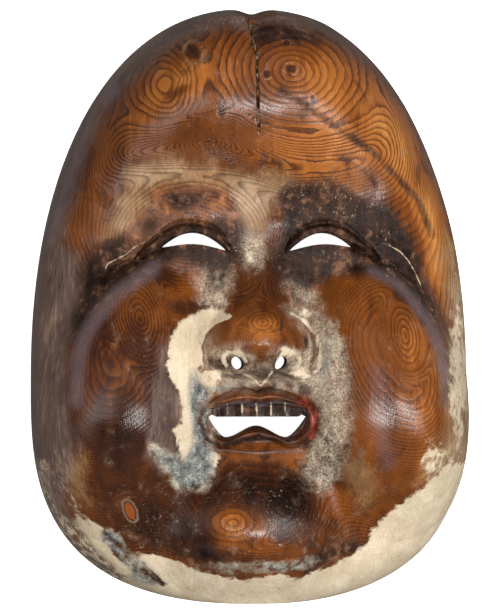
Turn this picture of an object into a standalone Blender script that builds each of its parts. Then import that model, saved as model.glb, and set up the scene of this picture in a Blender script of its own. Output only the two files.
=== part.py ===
"""A carved wooden okame mask, lying on its flat back rim with the face up.

Blender 4.5, lengths in metres. X runs to the viewer's right, Y from the chin to the crown and Z out of
the face. The rim lies in the plane z = 0, and the origin is the middle of the mask's footprint.

The front is a height over the plane of the rim. It is put together the way a carver works: the great
masses first, then the eyelids, the nose, the lips and the teeth. A smoother and smaller form is taken
out from behind, and the eyes, the nostrils, the mouth and the two cord holes are cut through.
"""

import math

import bmesh
import bpy
import numpy as np

# Outline seen from the front: an egg of two superellipses that meet at its widest level
HALF_WIDTH = 0.0884
CROWN_LEVEL = 0.1205
CHIN_LEVEL = -0.1200
WIDEST_LEVEL = -0.031
CROWN_POWERS = (2.27, 2.2)
JAW_POWERS = (2.55, 3.0)
NOTCH_DEPTH = 0.0022
NOTCH_HALF_WIDTH = 0.0050
NOTCH_LEVELS = (0.095, 0.118)

# Height of the middle line over the rim from the chin to the crown, without the features on it
PROFILE_LEVELS = (-0.120, -0.098, -0.068, -0.038, 0.000, 0.022, 0.042, 0.062, 0.084, 0.104, 0.120)
PROFILE_HEIGHTS = (0.050, 0.061, 0.063, 0.068, 0.064, 0.0605, 0.066, 0.0765, 0.0825, 0.0785, 0.066)
SECTION_POWER = 2.3
FACE_FALL = 0.26
FOREHEAD_FALL = 0.48
FALL_LEVELS = (0.020, 0.070)
RIM_ENVELOPE = 0.240
ENVELOPE_BLEND = 0.0035
FOREHEAD_LOBE = (0.021, 0.086)
FOREHEAD_LOBE_REACH = (0.020, 0.026)
FOREHEAD_LOBE_RISE = 0.0018

# Cheeks and chin: rounded masses that stand on the plane of the rim
BOSS_POWER = 2.3
CHEEK_CENTRE = (0.0480, -0.0310)
CHEEK_REACH = (0.0398, 0.0635)
CHEEK_HEIGHT = 0.0835
CHEEK_LEAN = math.radians(13.0)
CHEEK_BLENDS = (0.0008, 0.0110)
CHEEK_CRISP_TO = 0.014
CHEEK_SOFT_FROM = -0.055
CHIN_CENTRE = (0.0, -0.0860)
CHIN_REACH = (0.0420, 0.0340)
CHIN_HEIGHT = 0.0742
CHIN_BLEND = 0.0105

# Eyes
EYE_SHIFT = 0.0008
EYEBALL_CENTRE = (0.0280, 0.0220)
EYEBALL_REACH = (0.0200, 0.0090)
EYEBALL_RISE = 0.0035
SLIT_INNER = (0.0122, 0.0216)
SLIT_OUTER = (0.0379, 0.0230)
SLIT_ARCH = 0.0064
SLIT_ARCH_POWER = 0.9
SLIT_FLOOR_ARCH = 0.0019
SLIT_FLOOR_POWER = 1.3
LID_SIDES = (0.0090, 0.0122, 0.0255, 0.0379, 0.0440, 0.0495)
LID_WIDTHS = (0.0004, 0.0022, 0.0035, 0.0042, 0.0030, 0.0004)
LID_RISE = 0.0026
LID_TOP_SHARE = 0.62
LID_CREASE_DEPTH = 0.0012
LID_CREASE_SHARE = 1.12
LID_CREASE_HALF_SHARE = 0.26
LID_TURN = (0.0435, 0.0205)
LID_OUTER = (0.0485, 0.0175)
FOLD_HALF_WIDTH = 0.0012
FOLD_DEPTH = 0.0030
EDGE_HALF_WIDTH = 0.0006

# Nose: a bulb with its wings in one form, and the bridge above it
NOSE_LEVELS = (-0.0305, -0.0285, -0.024, -0.018, -0.012, -0.006, 0.000)
NOSE_HEIGHTS = (0.0635, 0.0705, 0.0780, 0.0838, 0.0852, 0.0815, 0.0730)
NOSE_HALF_WIDTHS = (0.0140, 0.0190, 0.0236, 0.0244, 0.0222, 0.0178, 0.0128)
NOSE_FOOT = 0.0560
NOSE_POWER = 1.75
NOSE_FULLNESS = 0.52
NOSE_FALL_BEYOND = 0.1
NOSE_EDGE_SLOPE = 1.6
NOSE_BLENDS = (0.0007, 0.0045)
NOSE_BLEND_LEVELS = (-0.014, -0.004)
TIP_CENTRE = (0.0, -0.0160)
TIP_REACH = (0.0090, 0.0115)
TIP_RISE = 0.0036
BRIDGE_LEVELS = (-0.014, -0.006, 0.000, 0.008, 0.016, 0.026)
BRIDGE_HEIGHTS = (0.0840, 0.0795, 0.0730, 0.0668, 0.0620, 0.0560)
BRIDGE_HALF_WIDTHS = (0.0120, 0.0105)
BRIDGE_BLEND = 0.0030
BRIDGE_END = 0.032
NOSTRIL_CENTRE = (0.0085, -0.0225)
NOSTRIL_HALF_SIZE = (0.0028, 0.0021)
NOSTRIL_LEAN = math.radians(35.0)

# Mouth
MOUTH_HALF_WIDTH = 0.0228
MOUTH_CORNER_LEVEL = -0.0428
UPPER_LIP_LEVEL = -0.0314
UPPER_LIP_DIP = 0.0022
UPPER_LIP_DIP_HALF_WIDTH = 0.0030
UPPER_LIP_EDGE = -0.0379
UPPER_LIP_EDGE_DROP = 0.0020
UPPER_LIP_ARCH_POWER = 0.8
UPPER_LIP_RISE = 0.0085
UPPER_LIP_CREST = 0.4
UPPER_LIP_ROLL_IN = 0.35
LIP_ROUNDNESS = 1.15
LOWER_LIP_RISE = 0.0045
LIP_RING_HALF_WIDTH = 0.0022
RING_STEPS = 40
RING_SIDES = (0.0165, 0.0196, 0.0209, 0.0198, 0.0165, 0.0120, 0.0065, 0.0000)
RING_LEVELS = (-0.0397, -0.0413, -0.0450, -0.0495, -0.0528, -0.0540, -0.0512, -0.0496)
LOWER_LIP_BUMP = (0.0, -0.0535)
LOWER_LIP_BUMP_REACH = (0.0105, 0.0028)
LOWER_LIP_BUMP_RISE = 0.0035
TEETH_DEPTH = 0.0040
TEETH_EDGE = 0.0012
TOOTH_COUNT = 6
TOOTH_WIDTH = 0.0058
TOOTH_RISE = 0.0012
MOUTH_HOLE_HALF_WIDTH = 0.0194
MOUTH_HOLE_TOP = -0.0438
MOUTH_HOLE_TOP_HALF_WIDTH = 0.0160
MOUTH_HOLE_MIDDLE = -0.0474
MOUTH_HOLE_LOW = -0.0520
MOUTH_HOLE_LOW_AT = 0.0120
MOUTH_HOLE_FLOOR_POWER = 1.6
MOUTH_HOLE_CORNER_RISE = 0.0008

# Hollow behind the face
BACK_SHARE = 0.92
FACE_WALL = 0.0092
NOSE_HOLLOW = (0.0, -0.012)
NOSE_HOLLOW_REACH = (0.012, 0.014)
NOSE_HOLLOW_RISE = 0.012

# Side lugs and the cord holes below them
LUG_CENTRE = (0.0822, 0.0030, 0.0200)
LUG_HALF_SIZE = (0.0040, 0.0058, 0.0050)
CORD_HOLE_LEVEL = -0.0060
CORD_HOLE_HEIGHT = 0.0130
CORD_HOLE_RADIUS = 0.0031
CORD_HOLE_DEPTH = 0.040
CORD_HOLE_SIDES = 16
LUG_SIDES = 12
LUG_RINGS = 8
SLIT_STEPS = 13
NOSTRIL_SIDES = 12
MOUTH_STEPS = 25

# Fineness of the meshes, and the room that the cutters have beyond what they cut
FRONT_CELLS = 280
FRONT_KEPT = 0.043
BACK_CELLS = 80
BACK_KEPT = 0.11
GRID_DRAW = 1.2
RIM_SINK = 0.0010
SKIRT = 0.006
CUTTER_MARGIN = 0.02
CUTTER_HALF_HEIGHT = 0.06
WELD = 0.000001
SHARP_ANGLE = math.radians(35.0)

WOOD_COLOUR = (0.235, 0.085, 0.028, 1.0)
WOOD_ROUGHNESS = 0.45


def clear_scene():
    for item in list(bpy.data.objects):
        bpy.data.objects.remove(item, do_unlink=True)


def smooth_max(first, second, blend):
    return np.logaddexp(first / blend, second / blend) * blend


def smooth_min(first, second, blend):
    return -smooth_max(-first, -second, blend)


def mix(first, second, share):
    return first + (second - first) * share


def soft_step(value, start, end):
    part = np.clip((value - start) / (end - start), 0.0, 1.0)
    return part * part * (3.0 - 2.0 * part)


def bell(x, y, centre, reach):
    return np.exp(-(((x - centre[0]) / reach[0]) ** 2) - ((y - centre[1]) / reach[1]) ** 2)


def boss(x, y, centre, reach, height, lean):
    """Height of a rounded mass that stands on the plane of the rim; its long axis may lean."""
    across = (x - centre[0]) * math.cos(lean) + (y - centre[1]) * math.sin(lean)
    along = (y - centre[1]) * math.cos(lean) - (x - centre[0]) * math.sin(lean)
    spent = np.abs(across / reach[0]) ** BOSS_POWER + np.abs(along / reach[1]) ** BOSS_POWER
    return height * np.sqrt(np.clip(1.0 - spent, 0.0, 1.0))


def smooth_curve(levels, heights, at):
    """A smooth curve through a few points, with the slope at each set by its neighbours."""
    levels = np.asarray(levels)
    heights = np.asarray(heights)
    slopes = np.gradient(heights, levels)
    place = np.clip(np.searchsorted(levels, at) - 1, 0, len(levels) - 2)
    width = levels[place + 1] - levels[place]
    part = np.clip((at - levels[place]) / width, 0.0, 1.0)
    rise = heights[place + 1] - heights[place]
    start = slopes[place] * width
    end = slopes[place + 1] * width
    bend = 3.0 * rise - 2.0 * start - end
    return heights[place] + part * (start + part * (bend + part * (start + end - 2.0 * rise)))


def gap_to_path(x, y, path):
    """Distance to a path of points, and 1 on its left-hand side or -1 on its right-hand side."""
    nearest = np.full(np.shape(x), 1.0)
    hand = np.ones(np.shape(x))
    for (x_1, y_1), (x_2, y_2) in zip(path[:-1], path[1:]):
        run_x = x_2 - x_1
        run_y = y_2 - y_1
        part = np.clip(((x - x_1) * run_x + (y - y_1) * run_y) / (run_x**2 + run_y**2), 0.0, 1.0)
        gap = np.hypot(x - x_1 - part * run_x, y - y_1 - part * run_y)
        turn = np.sign(run_x * (y - y_1) - run_y * (x - x_1))
        hand = np.where(gap < nearest, turn, hand)
        nearest = np.minimum(nearest, gap)
    return nearest, hand


def outline_terms(above):
    """Reach from the widest level to the end, and the two powers, above or below the widest level."""
    reach = np.where(above, CROWN_LEVEL - WIDEST_LEVEL, WIDEST_LEVEL - CHIN_LEVEL)
    side_power = np.where(above, CROWN_POWERS[0], JAW_POWERS[0])
    level_power = np.where(above, CROWN_POWERS[1], JAW_POWERS[1])
    return reach, side_power, level_power


def great_masses(x, y):
    """Face, forehead, cheeks and chin, before any feature is cut."""
    side = np.abs(x)
    reach, side_power, level_power = outline_terms(y > WIDEST_LEVEL)
    level_share = np.abs((y - WIDEST_LEVEL) / reach) ** level_power
    half_width = HALF_WIDTH * np.clip(1.0 - level_share, 0.0, 1.0) ** (1.0 / side_power)
    room = np.clip(1.0 - (side / HALF_WIDTH) ** side_power - level_share, 0.0, 1.0)
    section = np.clip(1.0 - (side / (half_width + WELD)) ** SECTION_POWER, 0.0, 1.0)
    fall = mix(FACE_FALL, FOREHEAD_FALL, soft_step(y, *FALL_LEVELS))
    form = smooth_curve(PROFILE_LEVELS, PROFILE_HEIGHTS, y) * section**fall
    form = form + FOREHEAD_LOBE_RISE * bell(side, y, FOREHEAD_LOBE, FOREHEAD_LOBE_REACH)
    cheek = boss(side, y, CHEEK_CENTRE, CHEEK_REACH, CHEEK_HEIGHT, CHEEK_LEAN)
    form = smooth_max(form, cheek, mix(*CHEEK_BLENDS, soft_step(-y, -CHEEK_CRISP_TO, -CHEEK_SOFT_FROM)))
    form = smooth_max(form, boss(x, y, CHIN_CENTRE, CHIN_REACH, CHIN_HEIGHT, 0.0), CHIN_BLEND)
    return smooth_min(form, RIM_ENVELOPE * np.sqrt(room), ENVELOPE_BLEND * np.sqrt(room) + WELD)


def slit_edge(side, arch, power):
    """Upper edge or floor of an eye opening: a bow between its two corners."""
    run = np.clip((side - SLIT_INNER[0]) / (SLIT_OUTER[0] - SLIT_INNER[0]), 0.0, 1.0)
    return mix(SLIT_INNER[1], SLIT_OUTER[1], run) + arch * np.sin(math.pi * run) ** power


def slit_line():
    """The opening's upper edge from its inner corner outwards, and on along the fold beside the eye."""
    sides = np.linspace(SLIT_INNER[0], SLIT_OUTER[0], SLIT_STEPS)
    line = [(side, float(slit_edge(side, SLIT_ARCH, SLIT_ARCH_POWER))) for side in sides]
    return line + [LID_TURN, LID_OUTER]


def add_eyes(form, x, y):
    """Eyeballs, the rolled upper lids with a crease above them, and the fold beside each eye."""
    side = np.abs(x - EYE_SHIFT)
    form = form + EYEBALL_RISE * bell(side, y, EYEBALL_CENTRE, EYEBALL_REACH)
    gap, hand = gap_to_path(side, y, slit_line())
    share = gap * hand / smooth_curve(LID_SIDES, LID_WIDTHS, side)
    present = soft_step(side, LID_SIDES[0], LID_SIDES[1])
    present = present * (1.0 - soft_step(side, LID_OUTER[0], LID_SIDES[-1]))
    roll = soft_step(gap * hand, -EDGE_HALF_WIDTH, EDGE_HALF_WIDTH)
    roll = roll * (1.0 - soft_step(share, LID_TOP_SHARE, 1.0))
    crease = np.exp(-(((share - LID_CREASE_SHARE) / LID_CREASE_HALF_SHARE) ** 2))
    fold_gap, _ = gap_to_path(side, y, [SLIT_OUTER, LID_TURN, LID_OUTER])
    fold = np.exp(-((fold_gap / FOLD_HALF_WIDTH) ** 2))
    return form + present * (LID_RISE * roll - LID_CREASE_DEPTH * crease - FOLD_DEPTH * fold)


def add_nose(form, x, y):
    """The bridge, which widens into the face, and the broad bulb of the nose with its rounded tip."""
    side = np.abs(x)
    bridge = smooth_curve(BRIDGE_LEVELS, BRIDGE_HEIGHTS, y)
    reach = mix(*BRIDGE_HALF_WIDTHS, soft_step(y, BRIDGE_LEVELS[1], BRIDGE_LEVELS[-1]))
    crest = np.exp(-((side / reach) ** 2)) * soft_step(y, BRIDGE_LEVELS[0], BRIDGE_LEVELS[1])
    crest = crest * (1.0 - soft_step(y, BRIDGE_LEVELS[-2], BRIDGE_END))
    form = form + (smooth_max(bridge, form, BRIDGE_BLEND) - form) * crest
    height = smooth_curve(NOSE_LEVELS, NOSE_HEIGHTS, y)
    share = (side / smooth_curve(NOSE_LEVELS, NOSE_HALF_WIDTHS, y)) ** NOSE_POWER
    bulb = NOSE_FOOT + (height - NOSE_FOOT) * np.clip(1.0 - share, 0.0, 1.0) ** NOSE_FULLNESS
    bulb = bulb + TIP_RISE * bell(x, y, TIP_CENTRE, TIP_REACH)
    bulb = bulb - NOSE_FALL_BEYOND * np.clip(share - 1.0, 0.0, None)
    beyond = np.clip(NOSE_LEVELS[0] - y, 0.0, None) + np.clip(y - NOSE_LEVELS[-1], 0.0, None)
    blend = mix(*NOSE_BLENDS, soft_step(y, *NOSE_BLEND_LEVELS))
    return smooth_max(form, bulb - NOSE_EDGE_SLOPE * beyond, blend)


def upper_lip_top(side):
    run = np.clip(1.0 - (side / MOUTH_HALF_WIDTH) ** 2, 0.0, 1.0) ** UPPER_LIP_ARCH_POWER
    dip = UPPER_LIP_DIP * np.exp(-((side / UPPER_LIP_DIP_HALF_WIDTH) ** 2))
    return mix(MOUTH_CORNER_LEVEL, UPPER_LIP_LEVEL, run) - dip


def mouth_hole_floor(side):
    """Lower edge of the mouth opening: high in the middle, low at both sides, high at the corners."""
    inner = mix(MOUTH_HOLE_MIDDLE, MOUTH_HOLE_LOW, soft_step(side, 0.0, MOUTH_HOLE_LOW_AT))
    rise = np.clip((side - MOUTH_HOLE_LOW_AT) / (MOUTH_HOLE_HALF_WIDTH - MOUTH_HOLE_LOW_AT), 0.0, 1.0)
    return inner + (MOUTH_HOLE_TOP - MOUTH_HOLE_LOW) * rise**MOUTH_HOLE_FLOOR_POWER


def lip_ring_path():
    """Middle of the lower lip's round edge, from the upper lip round the corner to the middle."""
    places = np.arange(len(RING_SIDES))
    steps = np.linspace(0.0, places[-1], RING_STEPS)
    return list(zip(smooth_curve(places, RING_SIDES, steps), smooth_curve(places, RING_LEVELS, steps)))


def add_mouth(form, x, y):
    """The rolled upper lip, the row of teeth set back below it, and the ring of the lower lip."""
    side = np.abs(x)
    top = upper_lip_top(side)
    edge = UPPER_LIP_EDGE - UPPER_LIP_EDGE_DROP * (side / MOUTH_HOLE_HALF_WIDTH) ** 2
    part = np.clip((y - edge) / np.maximum(top - edge, WELD), 0.0, 1.0)
    roll_in = 1.0 - UPPER_LIP_ROLL_IN * np.clip(1.0 - part / UPPER_LIP_CREST, 0.0, 1.0) ** 2
    out_share = np.clip((part - UPPER_LIP_CREST) / (1.0 - UPPER_LIP_CREST), 0.0, 1.0)
    taper = 1.0 - np.clip(side / MOUTH_HALF_WIDTH, 0.0, 1.0) ** 4
    over_teeth = soft_step(y - edge, -TEETH_EDGE, 0.0)
    upper = UPPER_LIP_RISE * roll_in * (1.0 - out_share**2) ** LIP_ROUNDNESS * taper * over_teeth
    floor = mouth_hole_floor(side)
    inside = (1.0 - over_teeth) * soft_step(y, floor, floor + TEETH_EDGE) * (side < MOUTH_HOLE_HALF_WIDTH)
    in_row = side < TOOTH_COUNT * TOOTH_WIDTH / 2.0
    tooth = TOOTH_RISE * np.abs(np.cos(math.pi * side / TOOTH_WIDTH)) * in_row
    gap, _ = gap_to_path(side, y, lip_ring_path())
    ring_share = np.clip(gap / LIP_RING_HALF_WIDTH, 0.0, 1.0)
    ring = LOWER_LIP_RISE * (1.0 - ring_share**2) ** LIP_ROUNDNESS * (1.0 - inside)
    form = form + LOWER_LIP_BUMP_RISE * bell(x, y, LOWER_LIP_BUMP, LOWER_LIP_BUMP_REACH)
    return form + np.maximum(upper, ring) - (TEETH_DEPTH - tooth) * inside


def front_height(x, y):
    form = great_masses(x, y)
    form = add_eyes(form, x, y)
    form = add_nose(form, x, y)
    return add_mouth(form, x, y) - RIM_SINK


def back_height(x, y):
    """Height of the hollow: the great masses again, drawn in by the wall, with room behind the nose."""
    form = great_masses(x / BACK_SHARE, y / BACK_SHARE) - FACE_WALL
    return form + NOSE_HOLLOW_RISE * bell(x, y, NOSE_HOLLOW, NOSE_HOLLOW_REACH)


def disc_grid(cells):
    """A square grid pressed into a disc, as the radius and the direction of each point."""
    ticks = np.linspace(-1.0, 1.0, cells + 1)
    across, along = np.meshgrid(ticks, ticks, indexing="ij")
    flat_x = across * np.sqrt(1.0 - along**2 / 2.0)
    flat_y = along * np.sqrt(1.0 - across**2 / 2.0)
    return np.hypot(flat_x, flat_y), np.arctan2(flat_y, flat_x)


def outline_point(direction, scale):
    """Place on the outline, drawn in by the scale round the middle of the widest level."""
    cosine = np.cos(direction)
    sine = np.sin(direction)
    reach, side_power, level_power = outline_terms(sine > 0.0)
    x = HALF_WIDTH * np.sign(cosine) * np.abs(cosine) ** (2.0 / side_power)
    y = reach * np.sign(sine) * np.abs(sine) ** (2.0 / level_power)
    return x * scale, y * scale + WIDEST_LEVEL


def notched(x, y):
    """The crown's middle, where the wood is parted, lies a little lower than its two lobes."""
    return y - NOTCH_DEPTH * np.exp(-((x / NOTCH_HALF_WIDTH) ** 2)) * soft_step(y, *NOTCH_LEVELS)


def closed_form(name, cells, height, share):
    """A solid under a height: a grid pressed to the outline and lifted, then a skirt and a flat floor."""
    body = bmesh.new()
    bmesh.ops.create_grid(body, x_segments=cells, y_segments=cells, size=1.0)
    radius, direction = disc_grid(cells)
    x, y = outline_point(direction, np.sin(radius * math.pi / 2.0) ** GRID_DRAW)
    x = x * share
    y = y * share
    z = height(x, y)
    y = notched(x, y)
    for vertex in body.verts:
        column = round((vertex.co.x + 1.0) * cells / 2.0)
        row = round((vertex.co.y + 1.0) * cells / 2.0)
        vertex.co = (x[column, row], y[column, row], z[column, row])
    border = [edge for edge in body.edges if edge.is_boundary]
    for item in bmesh.ops.extrude_edge_only(body, edges=border)["geom"]:
        if isinstance(item, bmesh.types.BMVert):
            item.co.z = z.min() - SKIRT
    bmesh.ops.contextual_create(body, geom=[edge for edge in body.edges if edge.is_boundary])
    bmesh.ops.recalc_face_normals(body, faces=body.faces)
    mesh = bpy.data.meshes.new(name)
    body.to_mesh(mesh)
    body.free()
    return bpy.data.objects.new(name, mesh)


def thin_out(item, kept):
    """Fewer faces where the form is flat, the same where it bends."""
    thin = item.modifiers.new("thin out", "DECIMATE")
    thin.ratio = kept


def weld_and_face_out(mesh):
    body = bmesh.new()
    body.from_mesh(mesh)
    bmesh.ops.remove_doubles(body, verts=body.verts, dist=WELD)
    bmesh.ops.recalc_face_normals(body, faces=body.faces)
    body.to_mesh(mesh)
    body.free()


def as_cutter(item, collection):
    for home in list(item.users_collection):
        home.objects.unlink(item)
    collection.objects.link(item)
    item.hide_render = True
    item.display_type = "WIRE"
    return item


def evaluated_mesh(item):
    bpy.context.view_layer.update()
    return bpy.data.meshes.new_from_object(item.evaluated_get(bpy.context.evaluated_depsgraph_get()))


def upright_cutter(name, outline, collection):
    """A straight cutter along Z from a closed flat outline."""
    curve = bpy.data.curves.new(name + "_outline", "CURVE")
    curve.dimensions = "2D"
    curve.fill_mode = "BOTH"
    curve.extrude = CUTTER_HALF_HEIGHT
    spline = curve.splines.new("POLY")
    spline.points.add(len(outline) - 1)
    for point, (x, y) in zip(spline.points, outline):
        point.co = (x, y, 0.0, 1.0)
    spline.use_cyclic_u = True
    guide = bpy.data.objects.new(name + "_outline", curve)
    collection.objects.link(guide)
    guide.location.z = CUTTER_HALF_HEIGHT
    solid = evaluated_mesh(guide)
    cutter = bpy.data.objects.new(name, solid)
    cutter.matrix_world = guide.matrix_world.copy()
    bpy.data.objects.remove(guide, do_unlink=True)
    weld_and_face_out(solid)
    return as_cutter(cutter, collection)


def eye_outline(hand):
    """Outline of one eye opening: along its upper edge outwards and back along its floor."""
    sides = np.linspace(SLIT_INNER[0], SLIT_OUTER[0], SLIT_STEPS)
    upper = [(side, slit_edge(side, SLIT_ARCH, SLIT_ARCH_POWER)) for side in sides]
    floor = [(side, slit_edge(side, SLIT_FLOOR_ARCH, SLIT_FLOOR_POWER)) for side in sides[-2:0:-1]]
    return [(EYE_SHIFT + hand * side, level) for side, level in upper + floor]


def nostril_outline(hand):
    outline = []
    for turn in np.linspace(0.0, 2.0 * math.pi, NOSTRIL_SIDES, endpoint=False):
        along = NOSTRIL_HALF_SIZE[0] * math.cos(turn)
        across = NOSTRIL_HALF_SIZE[1] * math.sin(turn)
        side = NOSTRIL_CENTRE[0] + across * math.cos(NOSTRIL_LEAN) + along * math.sin(NOSTRIL_LEAN)
        level = NOSTRIL_CENTRE[1] + along * math.cos(NOSTRIL_LEAN) - across * math.sin(NOSTRIL_LEAN)
        outline.append((hand * side, level))
    return outline


def mouth_outline():
    """Outline of the mouth opening: along the lower lip, and back under the teeth."""
    sides = np.linspace(-MOUTH_HOLE_HALF_WIDTH, MOUTH_HOLE_HALF_WIDTH, MOUTH_STEPS)
    floor = [(side, mouth_hole_floor(abs(side))) for side in sides]
    corner = 0.5 * (MOUTH_HOLE_HALF_WIDTH + MOUTH_HOLE_TOP_HALF_WIDTH)
    top = [(corner, MOUTH_HOLE_TOP + MOUTH_HOLE_CORNER_RISE), (MOUTH_HOLE_TOP_HALF_WIDTH, MOUTH_HOLE_TOP)]
    return floor + top + [(-side, level) for side, level in reversed(top)]


def cord_cutter(name, hand, collection):
    bpy.ops.mesh.primitive_cylinder_add(
        vertices=CORD_HOLE_SIDES,
        radius=CORD_HOLE_RADIUS,
        depth=CORD_HOLE_DEPTH,
        location=(hand * HALF_WIDTH, CORD_HOLE_LEVEL, CORD_HOLE_HEIGHT),
        rotation=(0.0, math.pi / 2.0, 0.0),
    )
    cutter = bpy.context.object
    cutter.name = name
    return as_cutter(cutter, collection)


def floor_cutter(collection):
    """A block below the plane of the rim, which leaves the rim flat."""
    bpy.ops.mesh.primitive_cube_add(size=1.0)
    cutter = bpy.context.object
    cutter.name = "below_rim"
    depth = 2.0 * CUTTER_MARGIN
    cutter.scale = (2.0 * HALF_WIDTH + depth, CROWN_LEVEL - CHIN_LEVEL + depth, depth)
    cutter.location.z = -depth / 2.0
    return as_cutter(cutter, collection)


def side_lug(name, hand, collection):
    """A low knob on the side wall, over the cord hole."""
    bpy.ops.mesh.primitive_uv_sphere_add(segments=LUG_SIDES, ring_count=LUG_RINGS, radius=1.0)
    lug = bpy.context.object
    lug.name = name
    lug.scale = LUG_HALF_SIZE
    lug.location = (hand * LUG_CENTRE[0], LUG_CENTRE[1], LUG_CENTRE[2])
    return as_cutter(lug, collection)


def join_or_cut(item, tool, operation):
    modifier = item.modifiers.new(tool.name, "BOOLEAN")
    modifier.operation = operation
    modifier.object = tool
    modifier.solver = "EXACT"


def wood_material():
    material = bpy.data.materials.new("old wood")
    material.use_nodes = True
    shader = material.node_tree.nodes["Principled BSDF"]
    shader.inputs["Base Color"].default_value = WOOD_COLOUR
    shader.inputs["Roughness"].default_value = WOOD_ROUGHNESS
    shader.inputs["Metallic"].default_value = 0.0
    return material


def build_mask():
    parts = bpy.data.collections.new("okame mask")
    cutters = bpy.data.collections.new("cutters")
    bpy.context.scene.collection.children.link(parts)
    bpy.context.scene.collection.children.link(cutters)

    front = closed_form("mask", FRONT_CELLS, front_height, 1.0)
    parts.objects.link(front)
    thin_out(front, FRONT_KEPT)
    hollow = as_cutter(closed_form("hollow", BACK_CELLS, back_height, BACK_SHARE), cutters)
    thin_out(hollow, BACK_KEPT)

    for hand, side in ((1, "right"), (-1, "left")):
        join_or_cut(front, side_lug(f"lug_{side}", hand, cutters), "UNION")
    join_or_cut(front, hollow, "DIFFERENCE")
    for hand, side in ((1, "right"), (-1, "left")):
        join_or_cut(front, upright_cutter(f"eye_{side}", eye_outline(hand), cutters), "DIFFERENCE")
        join_or_cut(front, upright_cutter(f"nostril_{side}", nostril_outline(hand), cutters), "DIFFERENCE")
        join_or_cut(front, cord_cutter(f"cord_hole_{side}", hand, cutters), "DIFFERENCE")
    join_or_cut(front, upright_cutter("mouth", mouth_outline(), cutters), "DIFFERENCE")
    join_or_cut(front, floor_cutter(cutters), "DIFFERENCE")

    carved = evaluated_mesh(front)
    front.modifiers.clear()
    front.data = carved
    carved.materials.clear()
    carved.materials.append(wood_material())
    carved.shade_smooth()
    carved.set_sharp_from_angle(angle=SHARP_ANGLE)
    return front


def main():
    clear_scene()
    build_mask()


main()
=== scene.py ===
"""Looks of the okame mask: old carved wood under worn lacquer and gesso, lying on a pale floor.

Lengths are in metres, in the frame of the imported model: X to the viewer's right, Y from the chin to the
crown, Z out of the face. The carved piece repeats the forms of the solid that it replaces, on a finer grid
and with the finer cuts. Places that are read off the photograph are in its pixels, from its upper left
corner; photo_place() says where a point of the mask shows there.
"""

import math

import bmesh
import bpy
import numpy as np
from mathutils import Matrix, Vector


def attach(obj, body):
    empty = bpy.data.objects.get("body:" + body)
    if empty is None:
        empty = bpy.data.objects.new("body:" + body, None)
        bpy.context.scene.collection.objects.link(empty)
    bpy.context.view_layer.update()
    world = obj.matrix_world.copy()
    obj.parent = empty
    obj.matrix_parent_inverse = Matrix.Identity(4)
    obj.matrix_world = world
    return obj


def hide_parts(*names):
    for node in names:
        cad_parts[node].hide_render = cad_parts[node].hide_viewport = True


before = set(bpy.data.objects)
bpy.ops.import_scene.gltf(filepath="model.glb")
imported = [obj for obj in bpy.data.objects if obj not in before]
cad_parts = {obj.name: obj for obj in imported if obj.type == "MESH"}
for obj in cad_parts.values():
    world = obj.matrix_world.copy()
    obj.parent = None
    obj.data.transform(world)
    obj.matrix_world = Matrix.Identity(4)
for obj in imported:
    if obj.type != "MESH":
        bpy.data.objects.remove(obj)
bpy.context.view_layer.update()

# The photograph's view: its size in pixels, how far off and how far to the side the camera stood
PHOTO_SIZE = (496, 610)
CAMERA_DISTANCE = 1.6
CAMERA_TURN = math.radians(3.7)
TARGET_HEIGHT = 0.035
PIXELS_PER_METRE = 2494.0
RIM_CENTRE_HEIGHT = 0.015
RIM_CENTRE_PIXEL = (249.0, 305.5)
SENSOR = 0.036

# Outline seen from the front: an egg of two superellipses that meet at its widest level
HALF_WIDTH = 0.0884
CROWN_LEVEL = 0.1205
CHIN_LEVEL = -0.1200
WIDEST_LEVEL = -0.031
CROWN_POWERS = (2.27, 2.2)
JAW_POWERS = (2.55, 3.0)
NOTCH_DEPTH = 0.0022
NOTCH_HALF_WIDTH = 0.0050
NOTCH_LEVELS = (0.095, 0.118)

# Height of the middle line over the rim from the chin to the crown, without the features on it
PROFILE_LEVELS = (-0.120, -0.098, -0.068, -0.038, 0.000, 0.022, 0.042, 0.062, 0.084, 0.104, 0.120)
PROFILE_HEIGHTS = (0.050, 0.061, 0.063, 0.068, 0.064, 0.0605, 0.066, 0.0765, 0.0825, 0.0785, 0.066)
SECTION_POWER = 2.3
FACE_FALL = 0.26
FOREHEAD_FALL = 0.48
FALL_LEVELS = (0.020, 0.070)
RIM_ENVELOPE = 0.240
ENVELOPE_BLEND = 0.0035
FOREHEAD_LOBE = (0.021, 0.086)
FOREHEAD_LOBE_REACH = (0.020, 0.026)
FOREHEAD_LOBE_RISE = 0.0018

# Cheeks and chin: rounded masses that stand on the plane of the rim
BOSS_POWER = 2.3
CHEEK_CENTRE = (0.0480, -0.0310)
CHEEK_REACH = (0.0398, 0.0635)
CHEEK_HEIGHT = 0.0835
CHEEK_LEAN = math.radians(13.0)
CHEEK_BLENDS = (0.0008, 0.0110)
CHEEK_CRISP_TO = 0.014
CHEEK_SOFT_FROM = -0.055
CHIN_CENTRE = (0.0, -0.0860)
CHIN_REACH = (0.0420, 0.0340)
CHIN_HEIGHT = 0.0742
CHIN_BLEND = 0.0105

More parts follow.
